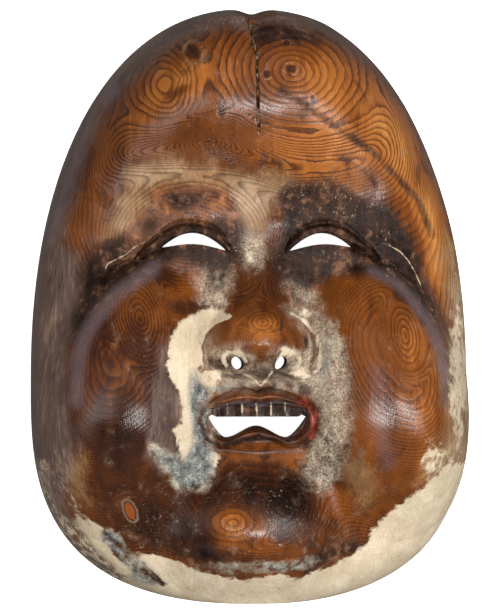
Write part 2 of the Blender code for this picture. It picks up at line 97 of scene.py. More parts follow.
# Eyes
EYE_SHIFT = 0.0008
EYEBALL_CENTRE = (0.0280, 0.0220)
EYEBALL_REACH = (0.0200, 0.0090)
EYEBALL_RISE = 0.0035
SLIT_INNER = (0.0122, 0.0216)
SLIT_OUTER = (0.0379, 0.0230)
SLIT_ARCH = 0.0064
SLIT_ARCH_POWER = 0.9
SLIT_FLOOR_ARCH = 0.0019
SLIT_FLOOR_POWER = 1.3
LID_SIDES = (0.0090, 0.0122, 0.0255, 0.0379, 0.0440, 0.0495)
LID_WIDTHS = (0.0004, 0.0022, 0.0035, 0.0042, 0.0030, 0.0004)
LID_RISE = 0.0026
LID_TOP_SHARE = 0.62
LID_CREASE_DEPTH = 0.0012
LID_CREASE_SHARE = 1.12
LID_CREASE_HALF_SHARE = 0.26
LID_TURN = (0.0435, 0.0205)
LID_OUTER = (0.0485, 0.0175)
FOLD_HALF_WIDTH = 0.0012
FOLD_DEPTH = 0.0030
EDGE_HALF_WIDTH = 0.0006

# Nose: a bulb with its wings in one form, and the bridge above it
NOSE_LEVELS = (-0.0305, -0.0285, -0.024, -0.018, -0.012, -0.006, 0.000)
NOSE_HEIGHTS = (0.0635, 0.0705, 0.0780, 0.0838, 0.0852, 0.0815, 0.0730)
NOSE_HALF_WIDTHS = (0.0140, 0.0190, 0.0236, 0.0244, 0.0222, 0.0178, 0.0128)
NOSE_FOOT = 0.0560
NOSE_POWER = 1.75
NOSE_FULLNESS = 0.52
NOSE_FALL_BEYOND = 0.1
NOSE_EDGE_SLOPE = 1.6
NOSE_BLENDS = (0.0007, 0.0045)
NOSE_BLEND_LEVELS = (-0.014, -0.004)
TIP_CENTRE = (0.0, -0.0160)
TIP_REACH = (0.0090, 0.0115)
TIP_RISE = 0.0036
BRIDGE_LEVELS = (-0.014, -0.006, 0.000, 0.008, 0.016, 0.026)
BRIDGE_HEIGHTS = (0.0840, 0.0795, 0.0730, 0.0668, 0.0620, 0.0560)
BRIDGE_HALF_WIDTHS = (0.0120, 0.0105)
BRIDGE_BLEND = 0.0030
BRIDGE_END = 0.032
NOSTRIL_CENTRE = (0.0085, -0.0225)
NOSTRIL_HALF_SIZE = (0.0028, 0.0021)
NOSTRIL_LEAN = math.radians(35.0)

# Mouth
MOUTH_HALF_WIDTH = 0.0228
MOUTH_CORNER_LEVEL = -0.0428
UPPER_LIP_LEVEL = -0.0314
UPPER_LIP_DIP = 0.0022
UPPER_LIP_DIP_HALF_WIDTH = 0.0030
UPPER_LIP_EDGE = -0.0379
UPPER_LIP_EDGE_DROP = 0.0020
UPPER_LIP_ARCH_POWER = 0.8
UPPER_LIP_RISE = 0.0085
UPPER_LIP_CREST = 0.4
UPPER_LIP_ROLL_IN = 0.35
UPPER_LIP_TAPER_POWER = 4
LIP_ROUNDNESS = 1.15
LOWER_LIP_RISE = 0.0045
LIP_RING_HALF_WIDTH = 0.0022
RING_STEPS = 40
RING_SIDES = (0.0165, 0.0196, 0.0209, 0.0198, 0.0165, 0.0120, 0.0065, 0.0000)
RING_LEVELS = (-0.0397, -0.0413, -0.0450, -0.0495, -0.0528, -0.0540, -0.0512, -0.0496)
LOWER_LIP_BUMP = (0.0, -0.0535)
LOWER_LIP_BUMP_REACH = (0.0105, 0.0028)
LOWER_LIP_BUMP_RISE = 0.0035
TEETH_DEPTH = 0.0040
TEETH_EDGE = 0.0012
TOOTH_COUNT = 6
TOOTH_WIDTH = 0.0058
TOOTH_RISE = 0.0012
MOUTH_HOLE_HALF_WIDTH = 0.0194
MOUTH_HOLE_TOP = -0.0438
MOUTH_HOLE_TOP_HALF_WIDTH = 0.0160
MOUTH_HOLE_MIDDLE = -0.0474
MOUTH_HOLE_LOW = -0.0520
MOUTH_HOLE_LOW_AT = 0.0120
MOUTH_HOLE_FLOOR_POWER = 1.6
MOUTH_HOLE_CORNER_RISE = 0.0008

# Hollow behind the face
BACK_SHARE = 0.92
FACE_WALL = 0.0092
NOSE_HOLLOW = (0.0, -0.012)
NOSE_HOLLOW_REACH = (0.012, 0.014)
NOSE_HOLLOW_RISE = 0.012

# Side lugs and the cord holes below them
LUG_CENTRE = (0.0822, 0.0030, 0.0200)
LUG_HALF_SIZE = (0.0040, 0.0058, 0.0050)
CORD_HOLE_LEVEL = -0.0060
CORD_HOLE_HEIGHT = 0.0130
CORD_HOLE_RADIUS = 0.0031
CORD_HOLE_DEPTH = 0.040
CORD_HOLE_SIDES = 32
LUG_SIDES = 32
LUG_RINGS = 20
SLIT_STEPS = 25
NOSTRIL_SIDES = 24
MOUTH_STEPS = 49

# Fineness of the meshes, and the room that the cutters have beyond what they cut
FRONT_CELLS = 225
BACK_CELLS = 110
SPLITS = 2
SPLIT_BEND = 0.00003
SPLIT_HALF_WIDTH = 0.054
SPLIT_LEVELS = (-0.066, 0.040)
SPLIT_CRACK_GAP = 2.5
NOTCH_ROUNDS = 5
GRID_DRAW = 1.2
RIM_SINK = 0.0010
SKIRT = 0.006
CUTTER_MARGIN = 0.02
CUTTER_HALF_HEIGHT = 0.06
WELD = 0.000001
SHARP_ANGLE = math.radians(40.0)

# Growth rings: how far behind the rim the tree's middle lay, its lean, and a year's growth
PITH_DEPTH = 0.090
TRUNK_LEAN = 0.30
RING_THICKNESS = 0.00090

# From here to the end of the lists, places are pixels of the photograph. A spot is its middle, its reach
# across and along, its lean in degrees and its strength. An area is its outline as a row of points.
# Places where the rings close into ovals, with the number of rings between the middle and the reach
RING_OVALS = (
    ((181, 78), (96, 62), 26.0, 13.0),
    ((294, 71), (124, 92), -12.0, 16.0),
    ((190, 236), (112, 84), 4.0, 23.0),
    ((140, 318), (40, 70), 16.0, 13.0),
    ((405, 335), (24, 50), 12.0, 8.0),
    ((233, 523), (44, 30), 0.0, 6.0),
    ((263, 322), (26, 18), 0.0, 5.0),
)
# Shares of the reach between which the ovals fade into the plain rings, and where the two are matched
OVAL_EDGE = (0.60, 1.15)
OVAL_BAND = (0.9, 1.1)
# Lighter and darker wood, from its middle tone; a few spots are painted light and shade instead, as marked
WOOD_TONE = 0.38
TONE_SPOTS = (
    ((150, 515), (50, 34), 20.0, -0.18),
    ((110, 460), (40, 30), 0.0, -0.14),
    ((196, 535), (24, 16), 0.0, -0.18),
    ((262, 416), (60, 12), 0.0, -0.26),
    ((262, 440), (56, 12), 0.0, -0.22),
    ((170, 400), (16, 50), 0.0, -0.10),
    ((188, 308), (16, 8), 0.0, -0.20),
    ((176, 80), (34, 20), 30.0, 0.22),
    ((215, 70), (34, 26), 30.0, 0.12),
    ((178, 92), (13, 4), 30.0, -0.35),
    ((300, 66), (44, 22), -6.0, 0.10),
    ((355, 112), (56, 66), 0.0, 0.24),
    ((310, 150), (50, 22), 0.0, 0.16),
    ((150, 122), (52, 40), 0.0, 0.14),
    ((240, 130), (30, 24), 0.0, 0.12),
    ((364, 300), (34, 30), 0.0, 0.10),
    # Painted light: the forehead's right edge and the temple below it lighter, as if lit from the right
    ((408, 165), (22, 66), 25.0, 0.36),
    ((436, 250), (12, 50), 10.0, 0.30),
    ((262, 336), (22, 10), 0.0, 0.10),
    ((196, 286), (18, 12), 0.0, 0.10),
    ((262, 286), (14, 18), 0.0, 0.10),
    ((262, 326), (24, 12), 0.0, 0.16),
    ((225, 345), (12, 14), 0.0, 0.02),
    ((262, 288), (22, 20), 0.0, -0.12),
    ((407, 332), (15, 26), 15.0, 0.16),
    ((340, 290), (30, 16), 0.0, 0.06),
    ((425, 400), (20, 60), 0.0, 0.10),
    ((125, 400), (50, 90), 0.0, -0.12),
    ((135, 305), (24, 26), 20.0, 0.06),
    # Painted shade in the crease under the left eye
    ((170, 276), (24, 8), 0.0, -0.10),
    # Painted shade: the chin's upper slope, under the lower lip, darker as if turned from the light
    ((262, 490), (54, 26), 0.0, -0.30),
    ((232, 524), (26, 14), 0.0, 0.24),
    ((255, 545), (34, 8), 0.0, 0.12),
    ((300, 512), (30, 34), 0.0, -0.22),
    ((360, 470), (22, 30), 0.0, 0.02),
    ((330, 502), (20, 16), -30.0, 0.22),
    ((247, 388), (40, 6), 0.0, 0.10),
    ((260, 446), (26, 4), 0.0, 0.24),
)
# Where the rings show most, and how much they show on the forehead and below it
GRAIN_SPOTS = (
    ((138, 305), (26, 30), 0.0, 0.30),
    ((405, 335), (20, 36), 12.0, 0.30),
    ((232, 522), (30, 20), 0.0, 0.20),
)
GRAIN_SHARES = (0.92, 0.42)
GRAIN_LEVELS = (165.0, 225.0)
# The dark mauve lacquer that is left
FILM_AREAS = (
    ((247, -30), (247, 28), (204, 33), (181, 41), (158, 55), (142, 70), (127, 84), (119, 97), (106, 107),
     (97, 118), (93, 135), (87, 151), (81, 170), (78, 186), (71, 206), (66, 227), (62, 250), (0, 250),
     (0, -30)),
    ((249, -30), (257, 28), (275, 22), (292, 28), (317, 30), (332, 38), (347, 48), (358, 58), (372, 70),
     (386, 84), (398, 100), (410, 118), (424, 142), (436, 170), (446, 200), (520, 200), (520, -30)),
    ((0, 240), (62, 240), (84, 262), (88, 290), (76, 320), (68, 345), (66, 380), (70, 420), (78, 450),
     (70, 475), (64, 500), (72, 520), (40, 540), (0, 500)),
    ((172, 337), (167, 352), (164, 370), (170, 385), (178, 395), (182, 410), (179, 422), (174, 431),
     (177, 443), (182, 455), (176, 464), (160, 470), (148, 455), (152, 420), (156, 380), (160, 350)),
    ((384, 262), (410, 262), (424, 280), (436, 305), (446, 340), (450, 380), (448, 410), (440, 400),
     (441, 370), (436, 345), (424, 318), (408, 298), (392, 280)),
)
# Bare pale wood
BARE_AREAS = (
    ((107, 238), (106, 227), (112, 212), (119, 200), (130, 186), (127, 174), (138, 162), (150, 158),
     (173, 158), (204, 164), (234, 172), (259, 178), (285, 174), (296, 178), (289, 188), (278, 198),
     (272, 212), (266, 236), (254, 240), (246, 226), (237, 206), (225, 189), (211, 186), (173, 186),
     (155, 189), (148, 203), (138, 215), (127, 230), (121, 241)),
    ((437, 250), (444, 306), (449, 337), (447, 370), (447, 408), (444, 428), (438, 446), (430, 460),
     (424, 478), (520, 520), (520, 230), (446, 236)),
    ((52, 282), (62, 286), (78, 288), (76, 300), (66, 312), (60, 326), (52, 330), (55, 305)),
    ((50, 340), (62, 340), (60, 362), (54, 380), (60, 440), (50, 440)),
    ((60, 452), (86, 458), (86, 500), (74, 500), (66, 478)),
    ((340, 462), (356, 456), (372, 470), (378, 492), (366, 504), (350, 494)),
)
# Worn paler still; the strong spot between the brows is a painted highlight
PALE_SPOTS = (
    ((247, 197), (22, 17), 0.0, 0.9),
    ((150, 172), (26, 10), 10.0, 0.5),
    ((119, 212), (10, 22), 25.0, 0.4),
    ((458, 370), (12, 90), 0.0, 0.8),
    ((200, 172), (30, 8), 0.0, 0.2),
)
# Grey-white washes of thin gesso
WASH_AREAS = (
    ((286, 308), (302, 306), (318, 312), (332, 326), (343, 342), (348, 366), (350, 400), (352, 430),
     (346, 456), (336, 480), (324, 490), (312, 484), (304, 470), (308, 448), (318, 430), (320, 408),
     (314, 396), (304, 386), (290, 384), (276, 388), (262, 386), (248, 388), (234, 386), (222, 390),
     (212, 396), (204, 408), (202, 426), (206, 440), (214, 452), (216, 462), (208, 480), (196, 488),
     (180, 488), (176, 470), (184, 450), (184, 420), (182, 396), (190, 376), (200, 366), (206, 374),
     (216, 380), (232, 378), (250, 374), (262, 378), (276, 374), (290, 380), (306, 376), (314, 364),
     (318, 346), (310, 332), (298, 322), (288, 316)),
    ((206, 334), (214, 347), (228, 351), (240, 347), (250, 353), (262, 366), (274, 355), (284, 349),
     (296, 352), (306, 346), (313, 332), (319, 346), (316, 366), (300, 379), (262, 381), (222, 381),
     (204, 373), (198, 350)),
    ((196, 276), (214, 262), (232, 262), (236, 276), (228, 292), (222, 306), (208, 308), (198, 300)),
    ((240, 238), (258, 236), (268, 252), (262, 268), (246, 268), (238, 254)),
    ((290, 268), (306, 280), (318, 296), (322, 308), (306, 308), (294, 298), (284, 284)),
)
# Soot and black paint round the eyes and in the hollows, with painted shade in the crease under each eye and
# a painted shadow of the upper lip on the teeth
SOOT_AREAS = (
    ((278, 195), (290, 184), (309, 180), (332, 180), (347, 186), (359, 197), (378, 206), (393, 215),
     (405, 227), (413, 242), (421, 256), (428, 280), (436, 315), (437, 340), (424, 318), (408, 300),
     (385, 282), (370, 275), (340, 276), (326, 282), (314, 290), (306, 292), (296, 288), (284, 283),
     (272, 270), (270, 256), (284, 240), (284, 222), (277, 208)),
    ((135, 262), (148, 240), (161, 228), (185, 220), (206, 224), (222, 212), (238, 222), (240, 244),
     (244, 262), (232, 275), (222, 290), (212, 290), (208, 275), (196, 267), (173, 265), (152, 270),
     (118, 293), (97, 315), (84, 334), (77, 350), (74, 322), (80, 290), (84, 262), (95, 245), (112, 237),
     (126, 234)),
    ((166, 194), (186, 191), (208, 194), (206, 206), (186, 210), (170, 205)),
    ((142, 220), (158, 216), (158, 232), (144, 236)),
    ((104, 540), (118, 548), (134, 560), (150, 572), (160, 584), (142, 582), (124, 566), (108, 554)),
    ((300, 555), (330, 545), (356, 540), (362, 546), (340, 560), (318, 568), (300, 574), (285, 572)),
    ((170, 545), (196, 548), (226, 548), (240, 556), (222, 562), (196, 562), (176, 556)),
    ((250, 25), (272, 22), (300, 30), (322, 40), (318, 48), (290, 44), (268, 40), (254, 44)),
)
SOOT_AND_PAINTED_SHADE_SPOTS = (
    ((168, 402), (12, 54), 0.0, 0.44),
    ((243, 366), (10, 6), 20.0, 0.55),
    ((280, 366), (10, 6), -20.0, 0.50),
    ((224, 366), (7, 6), 0.0, 0.50),
    ((303, 368), (8, 6), 0.0, 0.45),
    ((262, 372), (10, 5), 0.0, 0.50),
    ((263, 37), (9, 7), 0.0, 0.62),
    ((276, 92), (6, 7), 0.0, 0.40),
    ((263, 160), (5, 9), -20.0, 0.62),
    ((280, 163), (4, 7), 0.0, 0.62),
    ((120, 135), (14, 26), -30.0, 0.24),
    ((150, 150), (24, 9), 20.0, 0.30),
    ((136, 163), (10, 5), 0.0, 0.36),
    ((160, 125), (30, 12), 20.0, 0.18),
    ((300, 116), (9, 6), -45.0, 0.40),
    ((352, 160), (30, 8), -40.0, 0.34),
    ((306, 343), (2.5, 9), 0.0, 0.9),
    ((282, 324), (2.5, 8), 0.0, 0.7),
    ((216, 364), (9, 7), 0.0, 0.60),
    ((208, 352), (5, 14), 0.0, 0.40),
    ((238, 360), (14, 6), 0.0, 0.42),
    ((286, 362), (12, 6), 0.0, 0.42),
    ((360, 455), (5, 26), -8.0, 0.44),
    ((388, 482), (8, 16), 20.0, 0.40),
    ((316, 471), (6, 7), 0.0, 0.45),
    ((205, 478), (14, 10), 0.0, 0.40),
    ((216, 504), (18, 14), 0.0, 0.44),
    ((440, 470), (3, 24), 10.0, 0.30),
    ((95, 268), (26, 22), -30.0, 0.50),
    ((80, 300), (10, 24), 0.0, 0.35),
    ((258, 262), (16, 14), 0.0, 0.30),
    ((170, 540), (50, 18), 10.0, 0.30),
    ((110, 520), (20, 30), -20.0, 0.24),
    ((320, 548), (50, 16), -15.0, 0.50),
    ((240, 564), (60, 9), 0.0, 0.55),
    # Painted shadow of the upper lip across the tops of the teeth, over their own dark colour
    ((262, 404), (44, 6), 0.0, 0.45),
    ((262, 409), (40, 8), 0.0, 0.40),
    # Painted shade in the crease between each lower lid and the cheek, over black paint under the eyes
    ((330, 268), (40, 9), 0.0, 0.85),
    ((170, 276), (40, 7), 0.0, 0.30),
    ((150, 574), (28, 9), -35.0, 0.90),
)
# Dark streaks, two of them a painted shadow of the upper lip; a stroke is its half width, its strength and
# its row of points
SOOT_AND_PAINTED_SHADE_STROKES = (
    (5.0, 0.36, ((206, 410), (218, 402), (238, 396), (258, 401), (276, 396), (298, 401), (310, 409))),
    (3.0, 0.70, ((206, 416), (202, 424), (208, 436), (220, 446), (240, 441), (262, 437), (284, 441),
                 (302, 447), (312, 438), (316, 426))),
    (5.0, 0.66, ((212, 390), (228, 385), (244, 385), (262, 391), (278, 385), (296, 386), (308, 391))),
    (2.5, 0.62, ((206, 330), (201, 345), (204, 362), (214, 374), (234, 377), (250, 371), (262, 378),
                 (276, 371), (292, 377), (308, 370), (315, 356), (314, 340), (306, 326))),
    # Painted shadow of the upper lip on the teeth
    (5.0, 0.60, ((222, 411), (240, 411), (262, 410), (292, 411))),
    (4.5, 0.66, ((283, 91), (313, 111), (347, 135), (370, 149), (387, 166), (402, 183), (420, 205),
                 (432, 236))),
    (2.5, 0.50, ((340, 158), (362, 168), (376, 186))),
    (2.0, 0.60, ((86, 198), (97, 203), (107, 209), (113, 201))),
    (2.0, 0.55, ((88, 232), (95, 215), (107, 222), (114, 214))),
    # Painted shadow of the upper lip on the teeth
    (3.0, 0.70, ((240, 411), (262, 407), (285, 411))),
)
# Rust-brown paint over the left brow and on the right
RUST_AREAS = (
    ((155, 190), (173, 187), (211, 188), (224, 191), (234, 206), (244, 222), (232, 228), (206, 220),
     (186, 220), (166, 226), (150, 238), (136, 238), (130, 228), (140, 217), (150, 205)),
)
RUST_SPOTS = (
    ((277, 207), (9, 11), 0.0, 0.55),
    ((212, 197), (11, 6), 0.0, 0.5),
    ((122, 498), (10, 12), 0.0, 0.35),
    ((128, 534), (30, 16), 0.0, 0.20),
)
# Gesso, cream-coloured where it is clean
CREAM_AREAS = (
    ((212, 308), (200, 312), (190, 315), (182, 321), (175, 331), (171, 340), (168, 352), (167, 370),
     (172, 382), (179, 393), (182, 408), (181, 422), (174, 430), (177, 442), (182, 453), (179, 460),
     (170, 457), (160, 447), (152, 446), (158, 458), (168, 468), (173, 476), (179, 485), (188, 489),
     (201, 486), (211, 474), (217, 458), (210, 447), (202, 433), (198, 418), (202, 404), (212, 394),
     (222, 387), (214, 379), (204, 374), (199, 362), (198, 346), (203, 332), (213, 322), (227, 316),
     (222, 310)),
    ((30, 452), (58, 462), (67, 476), (76, 493), (90, 518), (104, 528), (112, 536), (127, 546), (139, 553),
     (158, 554), (173, 560), (196, 570), (214, 576), (240, 580), (263, 577), (281, 573), (294, 579),
     (309, 575), (326, 570), (338, 564), (356, 552), (367, 544), (372, 531), (382, 521), (393, 509),
     (407, 500), (421, 490), (432, 480), (444, 466), (520, 450), (520, 660), (-20, 660), (-20, 460)),
)
CREAM_SPOTS = (
    ((331, 430), (13, 52), 0.0, 0.26),
    ((312, 458), (12, 10), 0.0, 0.28),
    ((332, 345), (11, 32), -8.0, 0.44),
    ((305, 312), (16, 9), -35.0, 0.44),
    ((246, 250), (10, 14), 0.0, 0.30),
    ((262, 262), (18, 6), 0.0, 0.28),
    ((220, 302), (9, 9), 0.0, 0.40),
    ((225, 374), (16, 6), 0.0, 0.50),
    ((212, 370), (9, 8), 0.0, 0.42),
    ((297, 373), (14, 6), 0.0, 0.42),
    ((232, 352), (14, 4), 0.0, 0.30),
    ((292, 350), (16, 5), 0.0, 0.30),
    ((286, 356), (14, 8), 0.0, 0.34),
    ((303, 366), (14, 9), 0.0, 0.40),
    ((302, 228), (12, 3), 10.0, 0.36),
    ((224, 565), (14, 4), 0.0, 0.44),
    ((280, 546), (10, 3), 0.0, 0.40),
    ((459, 370), (11, 90), 0.0, 0.62),
    ((434, 462), (16, 26), 10.0, 0.50),
    ((60, 440), (10, 40), 0.0, 0.20),
)
# Where dark patches break the gesso
CREAM_GAPS = (
    ((130, 560), (34, 7), -38.0, 0.75),
    ((112, 538), (12, 5), -35.0, 0.55),
    ((190, 556), (34, 5), -8.0, 0.50),
    ((156, 580), (20, 5), -22.0, 0.30),
    ((300, 566), (24, 4), 8.0, 0.40),
    ((70, 500), (12, 40), 25.0, 0.35),
    ((50, 480), (16, 50), 20.0, 0.30),
    ((210, 365), (7, 5), 0.0, 0.50),
    ((216, 400), (8, 6), 0.0, 0.30),
)
CREAM_STROKES = (
    (1.0, 0.62, ((227, 404), (228, 415))),
    (1.0, 0.62, ((242, 403), (242, 415))),
    (1.0, 0.62, ((256, 403), (257, 415))),
    (1.0, 0.62, ((271, 403), (271, 415))),
    (1.0, 0.62, ((285, 403), (285, 415))),
    (2.4, 0.66, ((226, 365), (222, 357), (230, 352), (240, 354), (246, 362))),
    (2.4, 0.66, ((278, 362), (282, 354), (292, 352), (300, 358), (298, 366))),
    (2.6, 0.85, ((230, 316), (214, 322), (204, 333), (199, 347), (201, 362), (208, 374), (220, 379))),
    (2.6, 0.75, ((292, 313), (306, 322), (316, 336), (320, 352), (318, 370), (306, 378))),
    (1.6, 0.70, ((244, 374), (254, 380), (261, 386), (267, 379), (272, 372))),
)
# Gesso, blue-grey where it is dirty
BLUE_SPOTS = (
    ((196, 392), (9, 26), 0.0, 0.62),
    ((203, 446), (12, 40), 0.0, 0.85),
    ((190, 470), (18, 16), 0.0, 0.62),
    ((329, 342), (8, 22), -10.0, 0.62),
    ((326, 376), (8, 16), 0.0, 0.55),
    ((210, 392), (16, 8), 20.0, 0.50),
    ((246, 568), (60, 7), 0.0, 0.50),
    ((300, 562), (30, 6), 10.0, 0.40),
    ((112, 534), (12, 5), -35.0, 0.35),
    ((412, 520), (10, 30), 20.0, 0.18),
    ((140, 580), (16, 6), -20.0, 0.45),
    ((132, 561), (34, 8), -38.0, 0.62),
    ((112, 540), (14, 6), -35.0, 0.50),
    ((222, 288), (14, 18), 0.0, 0.24),
    ((166, 460), (22, 9), -40.0, 0.60),
    ((184, 482), (14, 8), 0.0, 0.50),
    ((238, 386), (22, 6), 8.0, 0.42),
    ((288, 386), (22, 6), -8.0, 0.42),
)
SPECKLED_AREAS = (
    ((20, 440), (54, 468), (62, 490), (70, 508), (82, 530), (94, 548), (110, 562), (130, 580), (120, 610),
     (40, 600), (0, 500)),
)
RED_STROKES = (
    (4.0, 0.90, ((298, 401), (308, 405), (314, 413), (315, 424), (311, 436))),
    (3.0, 0.45, ((204, 399), (200, 412), (201, 424), (208, 438), (220, 447))),
)
# Painted sheen: paler strokes that stand in for the soft boxes' reflections along the left brow's rim, the
# cheeks' edges and down the right cheek, and a pale line on the upper lip's lower edge; how wide and how
# strongly
PAINTED_SHEEN_STROKES = (
    (1.6, 0.60, ((206, 413), (220, 406), (240, 402), (258, 405), (276, 402), (298, 406), (311, 412))),
    (7.0, 0.62, ((152, 270), (118, 293), (97, 316), (84, 337), (78, 362), (76, 400))),
    (8.0, 0.22, ((376, 372), (382, 400), (381, 430), (388, 462))),
    (5.0, 0.50, ((372, 271), (394, 281), (410, 296), (428, 322), (441, 352), (446, 382))),
    (7.0, 0.50, ((112, 90), (92, 112), (80, 140), (70, 168), (60, 200), (50, 235))),
)
# Dull places, where the polish is gone
DULL_SPOTS = (
    ((262, 448), (42, 6), 0.0, 0.8),
    ((280, 222), (14, 14), 0.0, 0.8),
    ((166, 402), (16, 50), 0.0, 0.9),
    ((137, 412), (16, 20), 0.0, 0.75),
    ((212, 524), (32, 30), 0.0, 0.8),
    ((312, 524), (32, 30), 0.0, 0.8),
    ((204, 490), (30, 44), 0.0, 1.0),
    ((332, 498), (34, 40), 0.0, 0.9),
    ((262, 480), (56, 18), 0.0, 0.8),
    ((330, 268), (44, 14), 0.0, 0.8),
    ((200, 270), (40, 10), 0.0, 0.6),
    ((180, 360), (12, 60), 0.0, 0.7),
    ((340, 400), (20, 90), 0.0, 0.8),
)
FLECK_SPOTS = (
    ((341, 208), (7, 14), 0.0, 0.75),
    ((360, 206), (9, 9), 0.0, 0.75),
    ((386, 238), (9, 9), 0.0, 0.75),
    ((306, 190), (8, 6), 0.0, 0.5),
    ((300, 227), (10, 5), 0.0, 0.6),
    ((392, 272), (12, 8), -30.0, 0.65),
    ((432, 312), (5, 30), 0.0, 0.55),
    ((330, 256), (40, 7), 0.0, 0.20),
    ((250, 250), (26, 24), 0.0, 0.40),
    ((310, 200), (60, 24), 0.0, 0.26),
    ((205, 213), (40, 12), 0.0, 0.28),
    ((150, 520), (40, 40), 0.0, 0.26),
    ((280, 520), (60, 50), 0.0, 0.22),
)
CREAM_CRACKS = (
    ((105, 271), (108, 264), (116, 260), (126, 255), (134, 248), (142, 243)),
    ((388, 245), (400, 252), (408, 261), (415, 273), (421, 287)),
)
# Knots: middle, reach and lean; the dark ones and the reddish ones
DARK_KNOTS = (
    ((193, 52), (9, 10), 0.0),
    ((222, 112), (5, 6), 0.0),
    ((291, 69), (7, 5), -10.0),
    ((267, 74), (5, 5), 0.0),
    ((313, 101), (3.5, 7), 10.0),
    ((286, 43), (4, 3), 0.0),
)
RED_KNOTS = (
    ((130, 511), (5.5, 10), 25.0),
)
CRACK = ((247, 10), (248, 20), (251, 30), (254, 42), (257, 56), (257, 70), (258, 90), (258, 112), (259, 130))
# The edges of spots as shares of their reach, how soft a stroke is, and how far a thin line's mark reaches
SPOT_EDGE = (0.3, 1.7)
STROKE_SOFTNESS = 0.8
LINE_REACH = (3.0, 8.0)
# Half the width, in pixels, over which each layer's areas fade
AREA_SOFTNESS = {
    "film": 16.0,
    "bare": 20.0,
    "soot_and_painted_shade": 16.0,
    "rust": 11.0,
    "cream": 8.0,
    "speckled": 10.0,
    "wash": 13.0,
}

# Low waves left by the gouge, and the crack: its depth and, in pixels, where its walls begin and end
WAVE_LENGTHS = (0.019, 0.013)
WAVE_SLANTS = (0.4, 0.3)
WAVE_HEIGHT = 0.00012
CRACK_DEPTH = 0.0011
CRACK_EDGES = (0.4, 1.5)
# On the low walls the layers' edges wander: below these heights, by so many pixels, in waves this long
WALL_HEIGHTS = (0.018, 0.042)
WALL_DRIFT = 15.0
WALL_WAVES = (0.031, 0.012)
# Gouge cuts in the hollow: their width, length and depth, and how the rows wander
GOUGE_WIDTH = 0.0085
GOUGE_LENGTH = 0.031
GOUGE_DEPTH = 0.0008
GOUGE_WANDER = 0.35
GOUGE_WANDER_LENGTH = 0.060
GOUGE_OFFSET = 0.37
# What counts as the inside of the mask: this far below the front and facing down at least this much
INSIDE_GAP = 0.0012
INSIDE_LEAN = 0.35
RELIEF_DEPTH = 0.00045


def linear(red, green, blue):
    """A colour given as 0 to 255 on a screen, in the scene's linear values."""
    parts = [value / 255.0 for value in (red, green, blue)]
    return tuple(v / 12.92 if v < 0.04045 else ((v + 0.055) / 1.055) ** 2.4 for v in parts) + (1.0,)


# Colours of the layers, each as a place between 0 and 1 and a colour
WOOD_COLOURS = (
    (0.02, linear(22, 11, 7)),
    (0.22, linear(60, 30, 14)),
    (0.45, linear(110, 58, 18)),
    (0.68, linear(155, 91, 38)),
    (0.95, linear(200, 136, 70)),
)
LATE_WOOD = linear(44, 22, 14)
BARE_COLOURS = (
    (0.34, linear(86, 60, 42)),
    (0.48, linear(128, 94, 60)),
    (0.64, linear(172, 136, 90)),
)
BARE_LINE = linear(60, 38, 26)
RUST_COLOURS = ((0.34, linear(66, 42, 32)), (0.50, linear(118, 74, 48)), (0.66, linear(164, 100, 58)))
FILM_COLOURS = ((0.34, linear(54, 41, 40)), (0.50, linear(96, 76, 68)), (0.66, linear(146, 120, 104)))
# Colours of the soot and black paint, also used for the painted shade
SOOT_AND_PAINTED_SHADE_COLOURS = ((0.38, linear(13, 10, 10)), (0.51, linear(44, 31, 26)), (0.64, linear(114, 81, 61)))
CREAM_COLOURS = ((0.34, linear(160, 142, 118)), (0.46, linear(198, 180, 152)), (0.62, linear(218, 202, 176)))
BLUE_COLOURS = ((0.36, linear(46, 48, 50)), (0.50, linear(104, 106, 104)), (0.64, linear(168, 166, 152)))
RED_COLOURS = ((0.36, linear(74, 26, 22)), (0.54, linear(140, 56, 44)), (0.68, linear(172, 90, 74)))
CRACK_COLOURS = ((0.44, linear(48, 36, 28)), (0.58, linear(148, 126, 104)))
INSIDE_COLOURS = ((0.32, linear(58, 40, 30)), (0.50, linear(96, 68, 48)), (0.68, linear(132, 98, 70)))
PALE_COLOURS = ((0.36, linear(150, 122, 96)), (0.52, linear(196, 168, 138)), (0.66, linear(214, 190, 160)))
WASH_COLOURS = ((0.40, linear(84, 72, 60)), (0.50, linear(154, 140, 122)), (0.60, linear(210, 194, 170)))
RED_KNOT = linear(142, 72, 32)
# Colour of the painted sheen, a stand-in for reflections
PAINTED_SHEEN = linear(120, 104, 108)
FLECK = linear(206, 184, 150)

# The noises: grains per metre, detail, roughness, distortion, and how much finer along X, Y and Z
NOISES = {
    "broad": (26.0, 3.0, 0.55, 0.0, None),
    "blotch": (95.0, 4.0, 0.62, 0.4, None),
    "ragged": (260.0, 5.0, 0.65, 0.3, None),
    "fibre": (60.0, 4.0, 0.6, 0.0, (16.0, 1.0, 12.0)),
    "fine_fibre": (170.0, 3.0, 0.6, 0.0, (12.0, 1.0, 9.0)),
    "streak": (24.0, 4.0, 0.6, 0.5, (5.0, 1.0, 4.0)),
    "drift": (46.0, 5.0, 0.62, 0.8, (1.6, 1.0, 1.4)),
    "grit": (1300.0, 2.0, 0.6, 0.0, None),
    "ring_wander": (55.0, 2.0, 0.5, 0.0, None),
    "ring_tremble": (420.0, 2.0, 0.5, 0.0, None),
    "ring_wear": (38.0, 2.0, 0.55, 0.0, None),
    "speck": (640.0, 4.0, 0.7, 0.9, None),
}
